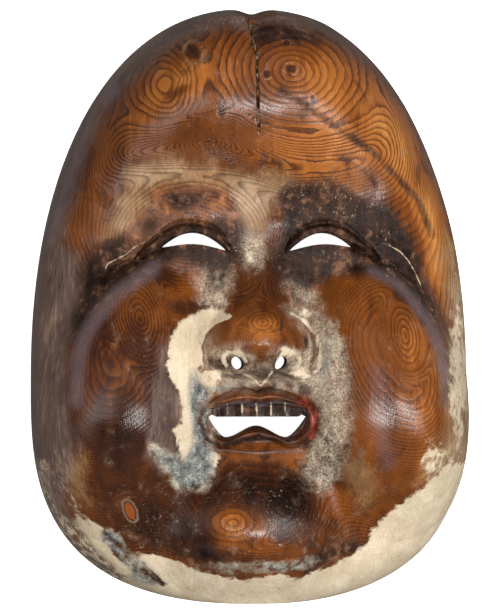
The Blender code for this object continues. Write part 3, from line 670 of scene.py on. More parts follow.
# What each edge and each tone is mixed from: noises and their shares
MIXES = {
    "bare": (("blotch", 0.6), ("fibre", 0.4)),
    "bare_tone": (("fibre", 0.2), ("blotch", 0.4), ("broad", 0.4)),
    "rust": (("blotch", 0.6), ("ragged", 0.4)),
    "rust_tone": (("ragged", 1.0),),
    "film": (("blotch", 0.4), ("streak", 0.6)),
    "film_tone": (("fibre", 0.55), ("broad", 0.45)),
    "wash": (("blotch", 0.6), ("ragged", 0.4)),
    "wash_tone": (("grit", 0.4), ("ragged", 0.3), ("streak", 0.3)),
    "soot_and_painted_shade": (("blotch", 0.35), ("drift", 0.30), ("ragged", 0.35)),
    "soot_and_painted_shade_tone": (("ragged", 0.6), ("streak", 0.4)),
    "cream": (("ragged", 0.55), ("drift", 0.45)),
    "cream_tone": (("blotch", 0.5), ("fibre", 0.25), ("grit", 0.25)),
    "speckled": (("blotch", 1.0),),
    "blue": (("blotch", 0.6), ("ragged", 0.4)),
    "blue_tone": (("ragged", 0.7), ("grit", 0.3)),
    "red": (("ragged", 1.0),),
    "red_tone": (("ragged", 1.0),),
    "crack_tone": (("ragged", 1.0),),
    "inside_tone": (("fibre", 0.6), ("broad", 0.4)),
}
# How far the noise shifts each layer's edge, and how soft that edge is
EDGES = {
    "bare": (1.3, 0.34),
    "rust": (1.5, 0.34),
    "film": (1.5, 0.36),
    "wash": (1.8, 0.46),
    "soot_and_painted_shade": (2.5, 0.34),
    "cream": (2.2, 0.16),
    "speckled": (0.8, 0.30),
    "blue": (1.3, 0.34),
    "red": (0.9, 0.25),
}
# How fully each layer hides what lies under it
COVER = {
    "ring": 0.80,
    "ring_on_bare": 0.62,
    "drift": 0.55,
    "bare": 0.78,
    "rust": 0.82,
    "film": 0.86,
    "wash": 0.70,
    "soot_and_painted_shade": 0.92,
    "speckled": 0.85,
    "gesso": 0.95,
    "red": 0.75,
    "speck": 0.85,
    "knot": 0.85,
    "dark_knot_border": 0.40,
    "red_knot_border": 0.20,
}
# Rings: how far they wander and tremble, and where in a ring the late wood begins, is full, and ends
RING_WANDER = 1.8
RING_TREMBLE = 0.35
LATE_WOOD_RISE = (0.45, 0.90)
LATE_WOOD_FALL = (0.93, 1.0)
RING_WEAR = (0.30, 0.62, 0.45, 1.0)
# How the wood's tone swings with each noise, and how it darkens across a ring
TONE_SWINGS = (("broad", 0.60), ("streak", 0.50), ("fine_fibre", 0.30))
RING_MIDDLE = 0.4
RING_SWING = 0.12
# Ramps: where a noise begins and ends to count, and from what to what
DRIFT_RAMP = (0.56, 0.70)
PALE_RAMP = (0.36, 0.60, 0.5, 1.0)
# Painted sheen: where its strokes show through the fine fibre noise
PAINTED_SHEEN_RAMP = (0.25, 0.75, 0.55, 1.0)
SPECKLE_RAMP = (0.40, 0.56)
BLUE_RAMP = (0.34, 0.56)
SPECK_RAMP = (0.60, 0.68)
SPECK_STRENGTH = 1.2
# Thin lines: how far noise moves them, in pixels, and where they begin to fade and are gone
CREAM_LINE_WANDER = 0.8
CREAM_LINE_EDGE = (0.2, 0.8)
CREAM_LINE_WEAR = (0.42, 0.58, 0.1, 0.8)
CRACK_WANDER = 2.6
CRACK_LINE_EDGE = (0.35, 1.3)
# Knots: how far noise moves them, where the core ends, and where the border begins and ends
KNOTS = {
    "dark_knot": (0.9, (0.55, 1.0), (0.95, 1.15), (1.2, 1.5)),
    "red_knot": (0.7, (0.65, 1.0), (0.95, 1.10), (1.2, 1.45)),
}
# Roughness of each layer, as a number or as a ramp over a noise
WOOD_ROUGHNESS = (0.3, 0.7, 0.19, 0.34)
FILM_ROUGHNESS = (0.3, 0.7, 0.30, 0.48)
BARE_ROUGHNESS = 0.50
SOOT_ROUGHNESS = (0.3, 0.7, 0.36, 0.62)
GESSO_ROUGHNESS = 0.72
INSIDE_ROUGHNESS = 0.65
# Reflection where the polish is whole and where it is gone
SHINE = (0.36, 0.10)
# Relief: shares of the bump's depth
RING_RELIEF = -0.20
FIBRE_RELIEF = 0.25
GESSO_RELIEF = 0.60
RAGGED_RELIEF = 0.5
CRACK_RELIEF = -1.2
RELIEF_STRENGTH = 0.8

# The floor, the lights (name, place, size and power) and the light all round
FLOOR_SIZE = 6.0
FLOOR_GREY = 0.9
FLOOR_ROUGHNESS = 0.9
LIGHT_AIM = (0.0, 0.0, 0.04)
LIGHTS = (
    ("soft_box_left", (-0.95, -0.10, 0.68), (0.40, 1.1), 4.0),
    ("soft_box_right", (0.72, -0.20, 0.90), (0.14, 0.7), 9.0),
    ("front", (0.06, -0.40, 1.35), (0.12, 0.12), 10.0),
    ("over_head", (0.0, 0.75, 1.25), (1.2, 0.5), 10.0),
)
WORLD_STRENGTH = 0.15
CLIP_START = 0.05


def smooth_max(first, second, blend):
    return np.logaddexp(first / blend, second / blend) * blend


def smooth_min(first, second, blend):
    return -smooth_max(-first, -second, blend)


def mix(first, second, share):
    return first + (second - first) * share


def soft_step(value, start, end):
    part = np.clip((value - start) / (end - start), 0.0, 1.0)
    return part * part * (3.0 - 2.0 * part)


def bell(x, y, centre, reach):
    return np.exp(-(((x - centre[0]) / reach[0]) ** 2) - ((y - centre[1]) / reach[1]) ** 2)


def boss(x, y, centre, reach, height, lean):
    """Height of a rounded mass that stands on the plane of the rim; its long axis may lean."""
    across = (x - centre[0]) * math.cos(lean) + (y - centre[1]) * math.sin(lean)
    along = (y - centre[1]) * math.cos(lean) - (x - centre[0]) * math.sin(lean)
    spent = np.abs(across / reach[0]) ** BOSS_POWER + np.abs(along / reach[1]) ** BOSS_POWER
    return height * np.sqrt(np.clip(1.0 - spent, 0.0, 1.0))


def smooth_curve(levels, heights, at):
    """A smooth curve through a few points, with the slope at each set by its neighbours."""
    levels = np.asarray(levels)
    heights = np.asarray(heights)
    slopes = np.gradient(heights, levels)
    place = np.clip(np.searchsorted(levels, at) - 1, 0, len(levels) - 2)
    width = levels[place + 1] - levels[place]
    part = np.clip((at - levels[place]) / width, 0.0, 1.0)
    rise = heights[place + 1] - heights[place]
    start = slopes[place] * width
    end = slopes[place + 1] * width
    bend = 3.0 * rise - 2.0 * start - end
    return heights[place] + part * (start + part * (bend + part * (start + end - 2.0 * rise)))


def gap_to_path(x, y, path):
    """Distance to a path of points, and 1 on its left-hand side or -1 on its right-hand side."""
    nearest = np.full(np.shape(x), np.inf)
    hand = np.ones(np.shape(x))
    for (x_1, y_1), (x_2, y_2) in zip(path[:-1], path[1:]):
        run_x = x_2 - x_1
        run_y = y_2 - y_1
        part = np.clip(((x - x_1) * run_x + (y - y_1) * run_y) / (run_x**2 + run_y**2), 0.0, 1.0)
        gap = np.hypot(x - x_1 - part * run_x, y - y_1 - part * run_y)
        turn = np.sign(run_x * (y - y_1) - run_y * (x - x_1))
        hand = np.where(gap < nearest, turn, hand)
        nearest = np.minimum(nearest, gap)
    return nearest, hand


def outline_terms(above):
    """Reach from the widest level to the end, and the two powers, above or below the widest level."""
    reach = np.where(above, CROWN_LEVEL - WIDEST_LEVEL, WIDEST_LEVEL - CHIN_LEVEL)
    side_power = np.where(above, CROWN_POWERS[0], JAW_POWERS[0])
    level_power = np.where(above, CROWN_POWERS[1], JAW_POWERS[1])
    return reach, side_power, level_power


def great_masses(x, y):
    """Face, forehead, cheeks and chin, before any feature is cut."""
    side = np.abs(x)
    reach, side_power, level_power = outline_terms(y > WIDEST_LEVEL)
    level_share = np.abs((y - WIDEST_LEVEL) / reach) ** level_power
    half_width = HALF_WIDTH * np.clip(1.0 - level_share, 0.0, 1.0) ** (1.0 / side_power)
    room = np.clip(1.0 - (side / HALF_WIDTH) ** side_power - level_share, 0.0, 1.0)
    section = np.clip(1.0 - (side / (half_width + WELD)) ** SECTION_POWER, 0.0, 1.0)
    fall = mix(FACE_FALL, FOREHEAD_FALL, soft_step(y, *FALL_LEVELS))
    form = smooth_curve(PROFILE_LEVELS, PROFILE_HEIGHTS, y) * section**fall
    form = form + FOREHEAD_LOBE_RISE * bell(side, y, FOREHEAD_LOBE, FOREHEAD_LOBE_REACH)
    cheek = boss(side, y, CHEEK_CENTRE, CHEEK_REACH, CHEEK_HEIGHT, CHEEK_LEAN)
    form = smooth_max(form, cheek, mix(*CHEEK_BLENDS, soft_step(-y, -CHEEK_CRISP_TO, -CHEEK_SOFT_FROM)))
    form = smooth_max(form, boss(x, y, CHIN_CENTRE, CHIN_REACH, CHIN_HEIGHT, 0.0), CHIN_BLEND)
    return smooth_min(form, RIM_ENVELOPE * np.sqrt(room), ENVELOPE_BLEND * np.sqrt(room) + WELD)


def slit_edge(side, arch, power):
    """Upper edge or floor of an eye opening: a bow between its two corners."""
    run = np.clip((side - SLIT_INNER[0]) / (SLIT_OUTER[0] - SLIT_INNER[0]), 0.0, 1.0)
    return mix(SLIT_INNER[1], SLIT_OUTER[1], run) + arch * np.sin(math.pi * run) ** power


def slit_line():
    """The opening's upper edge from its inner corner outwards, and on along the fold beside the eye."""
    sides = np.linspace(SLIT_INNER[0], SLIT_OUTER[0], SLIT_STEPS)
    line = [(side, float(slit_edge(side, SLIT_ARCH, SLIT_ARCH_POWER))) for side in sides]
    return line + [LID_TURN, LID_OUTER]


def add_eyes(form, x, y):
    """Eyeballs, the rolled upper lids with a crease above them, and the fold beside each eye."""
    side = np.abs(x - EYE_SHIFT)
    form = form + EYEBALL_RISE * bell(side, y, EYEBALL_CENTRE, EYEBALL_REACH)
    gap, hand = gap_to_path(side, y, slit_line())
    share = gap * hand / smooth_curve(LID_SIDES, LID_WIDTHS, side)
    present = soft_step(side, LID_SIDES[0], LID_SIDES[1])
    present = present * (1.0 - soft_step(side, LID_OUTER[0], LID_SIDES[-1]))
    roll = soft_step(gap * hand, -EDGE_HALF_WIDTH, EDGE_HALF_WIDTH)
    roll = roll * (1.0 - soft_step(share, LID_TOP_SHARE, 1.0))
    crease = np.exp(-(((share - LID_CREASE_SHARE) / LID_CREASE_HALF_SHARE) ** 2))
    fold_gap, _ = gap_to_path(side, y, [SLIT_OUTER, LID_TURN, LID_OUTER])
    fold = np.exp(-((fold_gap / FOLD_HALF_WIDTH) ** 2))
    return form + present * (LID_RISE * roll - LID_CREASE_DEPTH * crease - FOLD_DEPTH * fold)


def add_nose(form, x, y):
    """The bridge, which widens into the face, and the broad bulb of the nose with its rounded tip."""
    side = np.abs(x)
    bridge = smooth_curve(BRIDGE_LEVELS, BRIDGE_HEIGHTS, y)
    reach = mix(*BRIDGE_HALF_WIDTHS, soft_step(y, BRIDGE_LEVELS[1], BRIDGE_LEVELS[-1]))
    crest = np.exp(-((side / reach) ** 2)) * soft_step(y, BRIDGE_LEVELS[0], BRIDGE_LEVELS[1])
    crest = crest * (1.0 - soft_step(y, BRIDGE_LEVELS[-2], BRIDGE_END))
    form = form + (smooth_max(bridge, form, BRIDGE_BLEND) - form) * crest
    height = smooth_curve(NOSE_LEVELS, NOSE_HEIGHTS, y)
    share = (side / smooth_curve(NOSE_LEVELS, NOSE_HALF_WIDTHS, y)) ** NOSE_POWER
    bulb = NOSE_FOOT + (height - NOSE_FOOT) * np.clip(1.0 - share, 0.0, 1.0) ** NOSE_FULLNESS
    bulb = bulb + TIP_RISE * bell(x, y, TIP_CENTRE, TIP_REACH)
    bulb = bulb - NOSE_FALL_BEYOND * np.clip(share - 1.0, 0.0, None)
    beyond = np.clip(NOSE_LEVELS[0] - y, 0.0, None) + np.clip(y - NOSE_LEVELS[-1], 0.0, None)
    blend = mix(*NOSE_BLENDS, soft_step(y, *NOSE_BLEND_LEVELS))
    return smooth_max(form, bulb - NOSE_EDGE_SLOPE * beyond, blend)


def upper_lip_top(side):
    run = np.clip(1.0 - (side / MOUTH_HALF_WIDTH) ** 2, 0.0, 1.0) ** UPPER_LIP_ARCH_POWER
    dip = UPPER_LIP_DIP * np.exp(-((side / UPPER_LIP_DIP_HALF_WIDTH) ** 2))
    return mix(MOUTH_CORNER_LEVEL, UPPER_LIP_LEVEL, run) - dip


def mouth_hole_floor(side):
    """Lower edge of the mouth opening: high in the middle, low at both sides, high at the corners."""
    inner = mix(MOUTH_HOLE_MIDDLE, MOUTH_HOLE_LOW, soft_step(side, 0.0, MOUTH_HOLE_LOW_AT))
    rise = np.clip((side - MOUTH_HOLE_LOW_AT) / (MOUTH_HOLE_HALF_WIDTH - MOUTH_HOLE_LOW_AT), 0.0, 1.0)
    return inner + (MOUTH_HOLE_TOP - MOUTH_HOLE_LOW) * rise**MOUTH_HOLE_FLOOR_POWER


def lip_ring_path():
    """Middle of the lower lip's round edge, from the upper lip round the corner to the middle."""
    places = np.arange(len(RING_SIDES))
    steps = np.linspace(0.0, places[-1], RING_STEPS)
    return list(zip(smooth_curve(places, RING_SIDES, steps), smooth_curve(places, RING_LEVELS, steps)))


def add_mouth(form, x, y):
    """The rolled upper lip, the row of teeth set back below it, and the ring of the lower lip."""
    side = np.abs(x)
    top = upper_lip_top(side)
    edge = UPPER_LIP_EDGE - UPPER_LIP_EDGE_DROP * (side / MOUTH_HOLE_HALF_WIDTH) ** 2
    part = np.clip((y - edge) / np.maximum(top - edge, WELD), 0.0, 1.0)
    roll_in = 1.0 - UPPER_LIP_ROLL_IN * np.clip(1.0 - part / UPPER_LIP_CREST, 0.0, 1.0) ** 2
    out_share = np.clip((part - UPPER_LIP_CREST) / (1.0 - UPPER_LIP_CREST), 0.0, 1.0)
    taper = 1.0 - np.clip(side / MOUTH_HALF_WIDTH, 0.0, 1.0) ** UPPER_LIP_TAPER_POWER
    over_teeth = soft_step(y - edge, -TEETH_EDGE, 0.0)
    upper = UPPER_LIP_RISE * roll_in * (1.0 - out_share**2) ** LIP_ROUNDNESS * taper * over_teeth
    floor = mouth_hole_floor(side)
    inside = (1.0 - over_teeth) * soft_step(y, floor, floor + TEETH_EDGE) * (side < MOUTH_HOLE_HALF_WIDTH)
    in_row = side < TOOTH_COUNT * TOOTH_WIDTH / 2.0
    tooth = TOOTH_RISE * np.abs(np.cos(math.pi * side / TOOTH_WIDTH)) * in_row
    gap, _ = gap_to_path(side, y, lip_ring_path())
    ring_share = np.clip(gap / LIP_RING_HALF_WIDTH, 0.0, 1.0)
    ring = LOWER_LIP_RISE * (1.0 - ring_share**2) ** LIP_ROUNDNESS * (1.0 - inside)
    form = form + LOWER_LIP_BUMP_RISE * bell(x, y, LOWER_LIP_BUMP, LOWER_LIP_BUMP_REACH)
    return form + np.maximum(upper, ring) - (TEETH_DEPTH - tooth) * inside


def front_height(x, y):
    form = great_masses(x, y)
    form = add_eyes(form, x, y)
    form = add_nose(form, x, y)
    return add_mouth(form, x, y) - RIM_SINK


def gouged_back(x, y):
    """Height of the hollow with the rows of gouge cuts in it."""
    lane = x / GOUGE_WIDTH + GOUGE_WANDER * np.sin(math.tau * y / GOUGE_WANDER_LENGTH)
    across = 2.0 * (lane - np.floor(lane)) - 1.0
    along = y / GOUGE_LENGTH + GOUGE_OFFSET * np.floor(lane) ** 2
    stroke_share = 0.5 + 0.5 * np.sin(math.pi * (along - np.floor(along)))
    return back_height(x, y) + GOUGE_DEPTH * (1.0 - across ** 2) * stroke_share


def carved_front(x, y):
    """Height of the front with the gouge's low waves and the open crack in it."""
    along = math.tau / WAVE_LENGTHS[0]
    aslant = math.tau / WAVE_LENGTHS[1]
    waves = np.sin(x * along + WAVE_SLANTS[0] * y * aslant) * np.sin(y * along - WAVE_SLANTS[1] * x * aslant)
    z = front_height(x, y) + WAVE_HEIGHT * waves
    u, v = photo_place(x, y, z)
    gap, _ = gap_to_path(u, v, CRACK)
    return z - CRACK_DEPTH * (1.0 - soft_step(gap, *CRACK_EDGES))


def back_height(x, y):
    """Height of the hollow: the great masses again, drawn in by the wall, with room behind the nose."""
    form = great_masses(x / BACK_SHARE, y / BACK_SHARE) - FACE_WALL
    return form + NOSE_HOLLOW_RISE * bell(x, y, NOSE_HOLLOW, NOSE_HOLLOW_REACH)


def disc_grid(cells):
    """A square grid pressed into a disc, as the radius and the direction of each point."""
    ticks = np.linspace(-1.0, 1.0, cells + 1)
    across, along = np.meshgrid(ticks, ticks, indexing="ij")
    flat_x = across * np.sqrt(1.0 - along**2 / 2.0)
    flat_y = along * np.sqrt(1.0 - across**2 / 2.0)
    return np.hypot(flat_x, flat_y), np.arctan2(flat_y, flat_x)


def outline_point(direction, scale):
    """Place on the outline, drawn in by the scale round the middle of the widest level."""
    cosine = np.cos(direction)
    sine = np.sin(direction)
    reach, side_power, level_power = outline_terms(sine > 0.0)
    x = HALF_WIDTH * np.sign(cosine) * np.abs(cosine) ** (2.0 / side_power)
    y = reach * np.sign(sine) * np.abs(sine) ** (2.0 / level_power)
    return x * scale, y * scale + WIDEST_LEVEL


def notched(x, y):
    """The crown's middle, where the wood is parted, lies a little lower than its two lobes."""
    return y - NOTCH_DEPTH * np.exp(-((x / NOTCH_HALF_WIDTH) ** 2)) * soft_step(y, *NOTCH_LEVELS)


def before_notch(x, y):
    """Where a point lay before the notch moved it."""
    start = y
    for _ in range(NOTCH_ROUNDS):
        start = y + start - notched(x, start)
    return start


def closed_form(name, cells, height, share, splits):
    """A solid under a height: a grid pressed to the outline and lifted, then a skirt and a flat floor."""
    body = bmesh.new()
    bmesh.ops.create_grid(body, x_segments=cells, y_segments=cells, size=1.0)
    radius, direction = disc_grid(cells)
    x, y = outline_point(direction, np.sin(radius * math.pi / 2.0) ** GRID_DRAW)
    x = x * share
    y = y * share
    z = height(x, y)
    y = notched(x, y)
    for vertex in body.verts:
        column = round((vertex.co.x + 1.0) * cells / 2.0)
        row = round((vertex.co.y + 1.0) * cells / 2.0)
        vertex.co = (x[column, row], y[column, row], z[column, row])
    split_at_bends(body, height, splits)
    border = [edge for edge in body.edges if edge.is_boundary]
    for item in bmesh.ops.extrude_edge_only(body, edges=border)["geom"]:
        if isinstance(item, bmesh.types.BMVert):
            item.co.z = z.min() - SKIRT
    bmesh.ops.contextual_create(body, geom=[edge for edge in body.edges if edge.is_boundary])
    bmesh.ops.triangulate(body, faces=body.faces)
    bmesh.ops.recalc_face_normals(body, faces=body.faces)
    return as_object(name, body)


def split_at_bends(body, height, splits):
    """Halves edges by the crack or over which a feature bends, and lifts the new points to the form."""
    for _ in range(splits):
        ends = np.array([(*edge.verts[0].co, *edge.verts[1].co) for edge in body.edges]).T
        x = (ends[0] + ends[3]) / 2.0
        y = (ends[1] + ends[4]) / 2.0
        z = height(x, before_notch(x, y))
        off = np.abs(z - (ends[2] + ends[5]) / 2.0)
        near = (np.abs(x) < SPLIT_HALF_WIDTH) & (y > SPLIT_LEVELS[0]) & (y < SPLIT_LEVELS[1])
        gap, _ = gap_to_path(*photo_place(x, y, z), CRACK)
        picked = ((off > SPLIT_BEND) & near) | (gap < SPLIT_CRACK_GAP)
        picked = [edge for edge, chosen in zip(body.edges, picked) if chosen and not edge.is_boundary]
        fresh = bmesh.ops.subdivide_edges(body, edges=picked, cuts=1)["geom_inner"]
        fresh = [item for item in fresh if isinstance(item, bmesh.types.BMVert)]
        places = np.array([vertex.co[:2] for vertex in fresh]).T
        for vertex, level in zip(fresh, height(places[0], before_notch(places[0], places[1]))):
            vertex.co.z = level
        bmesh.ops.triangulate(body, faces=body.faces)


def as_object(name, body):
    """Turns a bmesh into an object of the scene, and frees it."""
    mesh = bpy.data.meshes.new(name)
    body.to_mesh(mesh)
    body.free()
    item = bpy.data.objects.new(name, mesh)
    bpy.context.scene.collection.objects.link(item)
    return item


def upright_cutter(name, outline):
    """A straight cutter along Z from a closed flat outline."""
    body = bmesh.new()
    bottom = [body.verts.new((x, y, 0.0)) for x, y in outline]
    face = body.faces.new(bottom)
    for item in bmesh.ops.extrude_face_region(body, geom=[face])["geom"]:
        if isinstance(item, bmesh.types.BMVert):
            item.co.z = 2.0 * CUTTER_HALF_HEIGHT
    bmesh.ops.recalc_face_normals(body, faces=body.faces)
    return as_object(name, body)


def eye_outline(hand):
    """Outline of one eye opening: along its upper edge outwards and back along its floor."""
    sides = np.linspace(SLIT_INNER[0], SLIT_OUTER[0], SLIT_STEPS)
    upper = [(side, slit_edge(side, SLIT_ARCH, SLIT_ARCH_POWER)) for side in sides]
    floor = [(side, slit_edge(side, SLIT_FLOOR_ARCH, SLIT_FLOOR_POWER)) for side in sides[-2:0:-1]]
    return [(EYE_SHIFT + hand * side, level) for side, level in upper + floor]


def nostril_outline(hand):
    outline = []
    for turn in np.linspace(0.0, 2.0 * math.pi, NOSTRIL_SIDES, endpoint=False):
        along = NOSTRIL_HALF_SIZE[0] * math.cos(turn)
        across = NOSTRIL_HALF_SIZE[1] * math.sin(turn)
        side = NOSTRIL_CENTRE[0] + across * math.cos(NOSTRIL_LEAN) + along * math.sin(NOSTRIL_LEAN)
        level = NOSTRIL_CENTRE[1] + along * math.cos(NOSTRIL_LEAN) - across * math.sin(NOSTRIL_LEAN)
        outline.append((hand * side, level))
    return outline


def mouth_outline():
    """Outline of the mouth opening: along the lower lip, and back under the teeth."""
    sides = np.linspace(-MOUTH_HOLE_HALF_WIDTH, MOUTH_HOLE_HALF_WIDTH, MOUTH_STEPS)
    floor = [(side, mouth_hole_floor(abs(side))) for side in sides]
    corner = 0.5 * (MOUTH_HOLE_HALF_WIDTH + MOUTH_HOLE_TOP_HALF_WIDTH)
    top = [(corner, MOUTH_HOLE_TOP + MOUTH_HOLE_CORNER_RISE), (MOUTH_HOLE_TOP_HALF_WIDTH, MOUTH_HOLE_TOP)]
    return floor + top + [(-side, level) for side, level in reversed(top)]


def cord_cutter(name, hand):
    bpy.ops.mesh.primitive_cylinder_add(
        vertices=CORD_HOLE_SIDES,
        radius=CORD_HOLE_RADIUS,
        depth=CORD_HOLE_DEPTH,
        location=(hand * HALF_WIDTH, CORD_HOLE_LEVEL, CORD_HOLE_HEIGHT),
        rotation=(0.0, math.pi / 2.0, 0.0),
    )
    bpy.context.object.name = name
    return bpy.context.object


def floor_cutter():
    """A block below the plane of the rim, which leaves the rim flat."""
    bpy.ops.mesh.primitive_cube_add(size=1.0)
    cutter = bpy.context.object
    cutter.name = "below_rim"
    depth = 2.0 * CUTTER_MARGIN
    cutter.scale = (2.0 * HALF_WIDTH + depth, CROWN_LEVEL - CHIN_LEVEL + depth, depth)
    cutter.location.z = -depth / 2.0
    return cutter


def side_lug(name, hand):
    """A low knob on the side wall, over the cord hole."""
    bpy.ops.mesh.primitive_uv_sphere_add(segments=LUG_SIDES, ring_count=LUG_RINGS, radius=1.0)
    lug = bpy.context.object
    lug.name = name
    lug.scale = LUG_HALF_SIZE
    lug.location = (hand * LUG_CENTRE[0], LUG_CENTRE[1], LUG_CENTRE[2])
    return lug


def join_or_cut(item, tool, operation):
    """Applies a Boolean with the tool, then removes the tool."""
    modifier = item.modifiers.new(tool.name, "BOOLEAN")
    modifier.operation = operation
    modifier.object = tool
    modifier.solver = "MANIFOLD"
    bpy.context.view_layer.update()
    result = bpy.data.meshes.new_from_object(item.evaluated_get(bpy.context.evaluated_depsgraph_get()))
    item.modifiers.clear()
    item.data = result
    bpy.data.objects.remove(tool, do_unlink=True)


def carve_mask():
    mask = closed_form("carved_mask", FRONT_CELLS, carved_front, 1.0, SPLITS)
    hollow = closed_form("hollow", BACK_CELLS, gouged_back, BACK_SHARE, 0)
    for hand, side in ((1, "right"), (-1, "left")):
        join_or_cut(mask, side_lug(f"lug_{side}", hand), "UNION")
    join_or_cut(mask, hollow, "DIFFERENCE")
    for hand, side in ((1, "right"), (-1, "left")):
        join_or_cut(mask, upright_cutter(f"eye_{side}", eye_outline(hand)), "DIFFERENCE")
        join_or_cut(mask, upright_cutter(f"nostril_{side}", nostril_outline(hand)), "DIFFERENCE")
        join_or_cut(mask, cord_cutter(f"cord_hole_{side}", hand), "DIFFERENCE")
    join_or_cut(mask, upright_cutter("mouth", mouth_outline()), "DIFFERENCE")
    join_or_cut(mask, floor_cutter(), "DIFFERENCE")
    mask.data.shade_smooth()
    mask.data.set_sharp_from_angle(angle=SHARP_ANGLE)
    return mask


def photo_place(x, y, z):
    """Where a point shows in the photograph, in its pixels."""
    sine = math.sin(CAMERA_TURN)
    cosine = math.cos(CAMERA_TURN)

    def seen(x, y, z):
        across = x * cosine + (z - TARGET_HEIGHT) * sine
        depth = CAMERA_DISTANCE + x * sine - (z - TARGET_HEIGHT) * cosine
        scale = PIXELS_PER_METRE * CAMERA_DISTANCE / depth
        return across * scale, -y * scale

    start_u, start_v = seen(0.0, 0.0, RIM_CENTRE_HEIGHT)
    u, v = seen(x, y, z)
    return u - start_u + RIM_CENTRE_PIXEL[0], v - start_v + RIM_CENTRE_PIXEL[1]


def vertex_places(mesh):
    places = np.empty(len(mesh.vertices) * 3)
    mesh.vertices.foreach_get("co", places)
    return places.reshape(-1, 3).T


def store(mesh, name, values, domain="POINT"):
    layer = mesh.attributes.new(name, "FLOAT", domain)
    layer.data.foreach_set("value", np.asarray(values, dtype=np.float32))


def area(u, v, outline, soft):
    """1 inside a closed outline, 0.5 on it and 0 outside, over a soft width to either side."""
    inside = np.zeros(np.shape(u), dtype=bool)
    for (u_1, v_1), (u_2, v_2) in zip(outline, outline[1:] + outline[:1]):
        if v_1 != v_2:
            beside = u < (u_2 - u_1) * (v - v_1) / (v_2 - v_1) + u_1
            inside ^= ((v_1 > v) != (v_2 > v)) & beside
    gap, _ = gap_to_path(u, v, outline + outline[:1])
    return soft_step(np.where(inside, gap, -gap), -soft, soft)


def stroke(u, v, path, half_width, soft):
    """1 along a path of points, falling to 0 beside it."""
    gap, _ = gap_to_path(u, v, path)
    return 1.0 - soft_step(gap, half_width - soft, half_width + soft)


def oval_distance(u, v, middle, reach, lean):
    """Distance from the middle of a leaning oval, 1 on the oval that has the given reach."""
    turn = math.radians(lean)
    across = (u - middle[0]) * math.cos(turn) - (v - middle[1]) * math.sin(turn)
    along = (u - middle[0]) * math.sin(turn) + (v - middle[1]) * math.cos(turn)
    return np.hypot(across / reach[0], along / reach[1])


def spots(u, v, places):
    """The sum of several spots, each its full strength in the middle and half of it at its reach."""
    total = np.zeros(np.shape(u))
    for middle, reach, lean, strength in places:
        total = total + strength * (1.0 - soft_step(oval_distance(u, v, middle, reach, lean), *SPOT_EDGE))
    return total


def ring_number(x, y, z, u, v):
    """Which growth ring each point of the surface lies in, counted from the tree's middle."""
    ring = np.hypot(x, z + PITH_DEPTH + TRUNK_LEAN * y) / RING_THICKNESS
    for middle, reach, lean, count in RING_OVALS:
        distance = oval_distance(u, v, middle, reach, lean)
        edge = np.mean(ring[(distance > OVAL_BAND[0]) & (distance < OVAL_BAND[1])])
        share = 1.0 - soft_step(distance, *OVAL_EDGE)
        ring = mix(ring, edge + count * (1.0 - distance), share)
    return ring


def paint_attributes(mask):
    """Stores at each point of the mesh which layer of wood, lacquer, gesso or soot lies there, and where
    light, shade and sheen are painted.
    """
    mesh = mask.data
    x, y, z = vertex_places(mesh)
    u, v = photo_place(x, y, z)
    low = 1.0 - soft_step(z, *WALL_HEIGHTS)
    v = v + low * WALL_DRIFT * np.sin(math.tau * z / WALL_WAVES[0] + x / WALL_WAVES[1])
    v = v + low * WALL_DRIFT / 2.0 * np.sin(math.tau * (z + y) / WALL_WAVES[1])

    def areas(name, outlines):
        return np.max([area(u, v, outline, AREA_SOFTNESS[name]) for outline in outlines], axis=0)

    def strokes(rows):
        marks = []
        for half_width, strength, path in rows:
            marks.append(strength * stroke(u, v, path, half_width, half_width * STROKE_SOFTNESS))
        return np.max(marks, axis=0)

    store(mesh, "ring", ring_number(x, y, z, u, v))
    # The wood's tone, with some painted light and shade among its spots
    store(mesh, "tone", WOOD_TONE + spots(u, v, TONE_SPOTS))
    store(mesh, "grain", mix(*GRAIN_SHARES, soft_step(v, *GRAIN_LEVELS)) + spots(u, v, GRAIN_SPOTS))
    soot_and_painted_shade = np.maximum(areas("soot_and_painted_shade", SOOT_AREAS), spots(u, v, SOOT_AND_PAINTED_SHADE_SPOTS))
    store(mesh, "soot_and_painted_shade", np.maximum(soot_and_painted_shade, strokes(SOOT_AND_PAINTED_SHADE_STROKES)))
    store(mesh, "rust", np.maximum(areas("rust", RUST_AREAS), spots(u, v, RUST_SPOTS)))
    cream = np.maximum(areas("cream", CREAM_AREAS), spots(u, v, CREAM_SPOTS))
    store(mesh, "cream", np.maximum(cream, strokes(CREAM_STROKES)) - spots(u, v, CREAM_GAPS))
    for name, outlines in (
        ("film", FILM_AREAS), ("bare", BARE_AREAS), ("speckled", SPECKLED_AREAS), ("wash", WASH_AREAS)
    ):
        store(mesh, name, areas(name, outlines))
    for name, places in (
        ("blue", BLUE_SPOTS), ("fleck", FLECK_SPOTS), ("dull", DULL_SPOTS), ("pale", PALE_SPOTS)
    ):
        store(mesh, name, spots(u, v, places))
    # Red paint, and the painted sheen that stands in for reflections
    for name, rows in (("red", RED_STROKES), ("painted_sheen", PAINTED_SHEEN_STROKES)):
        store(mesh, name, strokes(rows))
    for name, knots in (("dark_knot", DARK_KNOTS), ("red_knot", RED_KNOTS)):
        store(mesh, name, np.min([oval_distance(u, v, *knot) for knot in knots], axis=0))
    for name, paths in (("crack", [CRACK]), ("cream_line", CREAM_CRACKS)):
        lines = [gap_to_path(u, v, path) for path in paths]
        nearest = np.argmin([gap for gap, _ in lines], axis=0)
        offset = np.choose(nearest, [gap * hand for gap, hand in lines])
        store(mesh, name, offset)
        store(mesh, f"{name}_near", 1.0 - soft_step(np.abs(offset), *LINE_REACH))


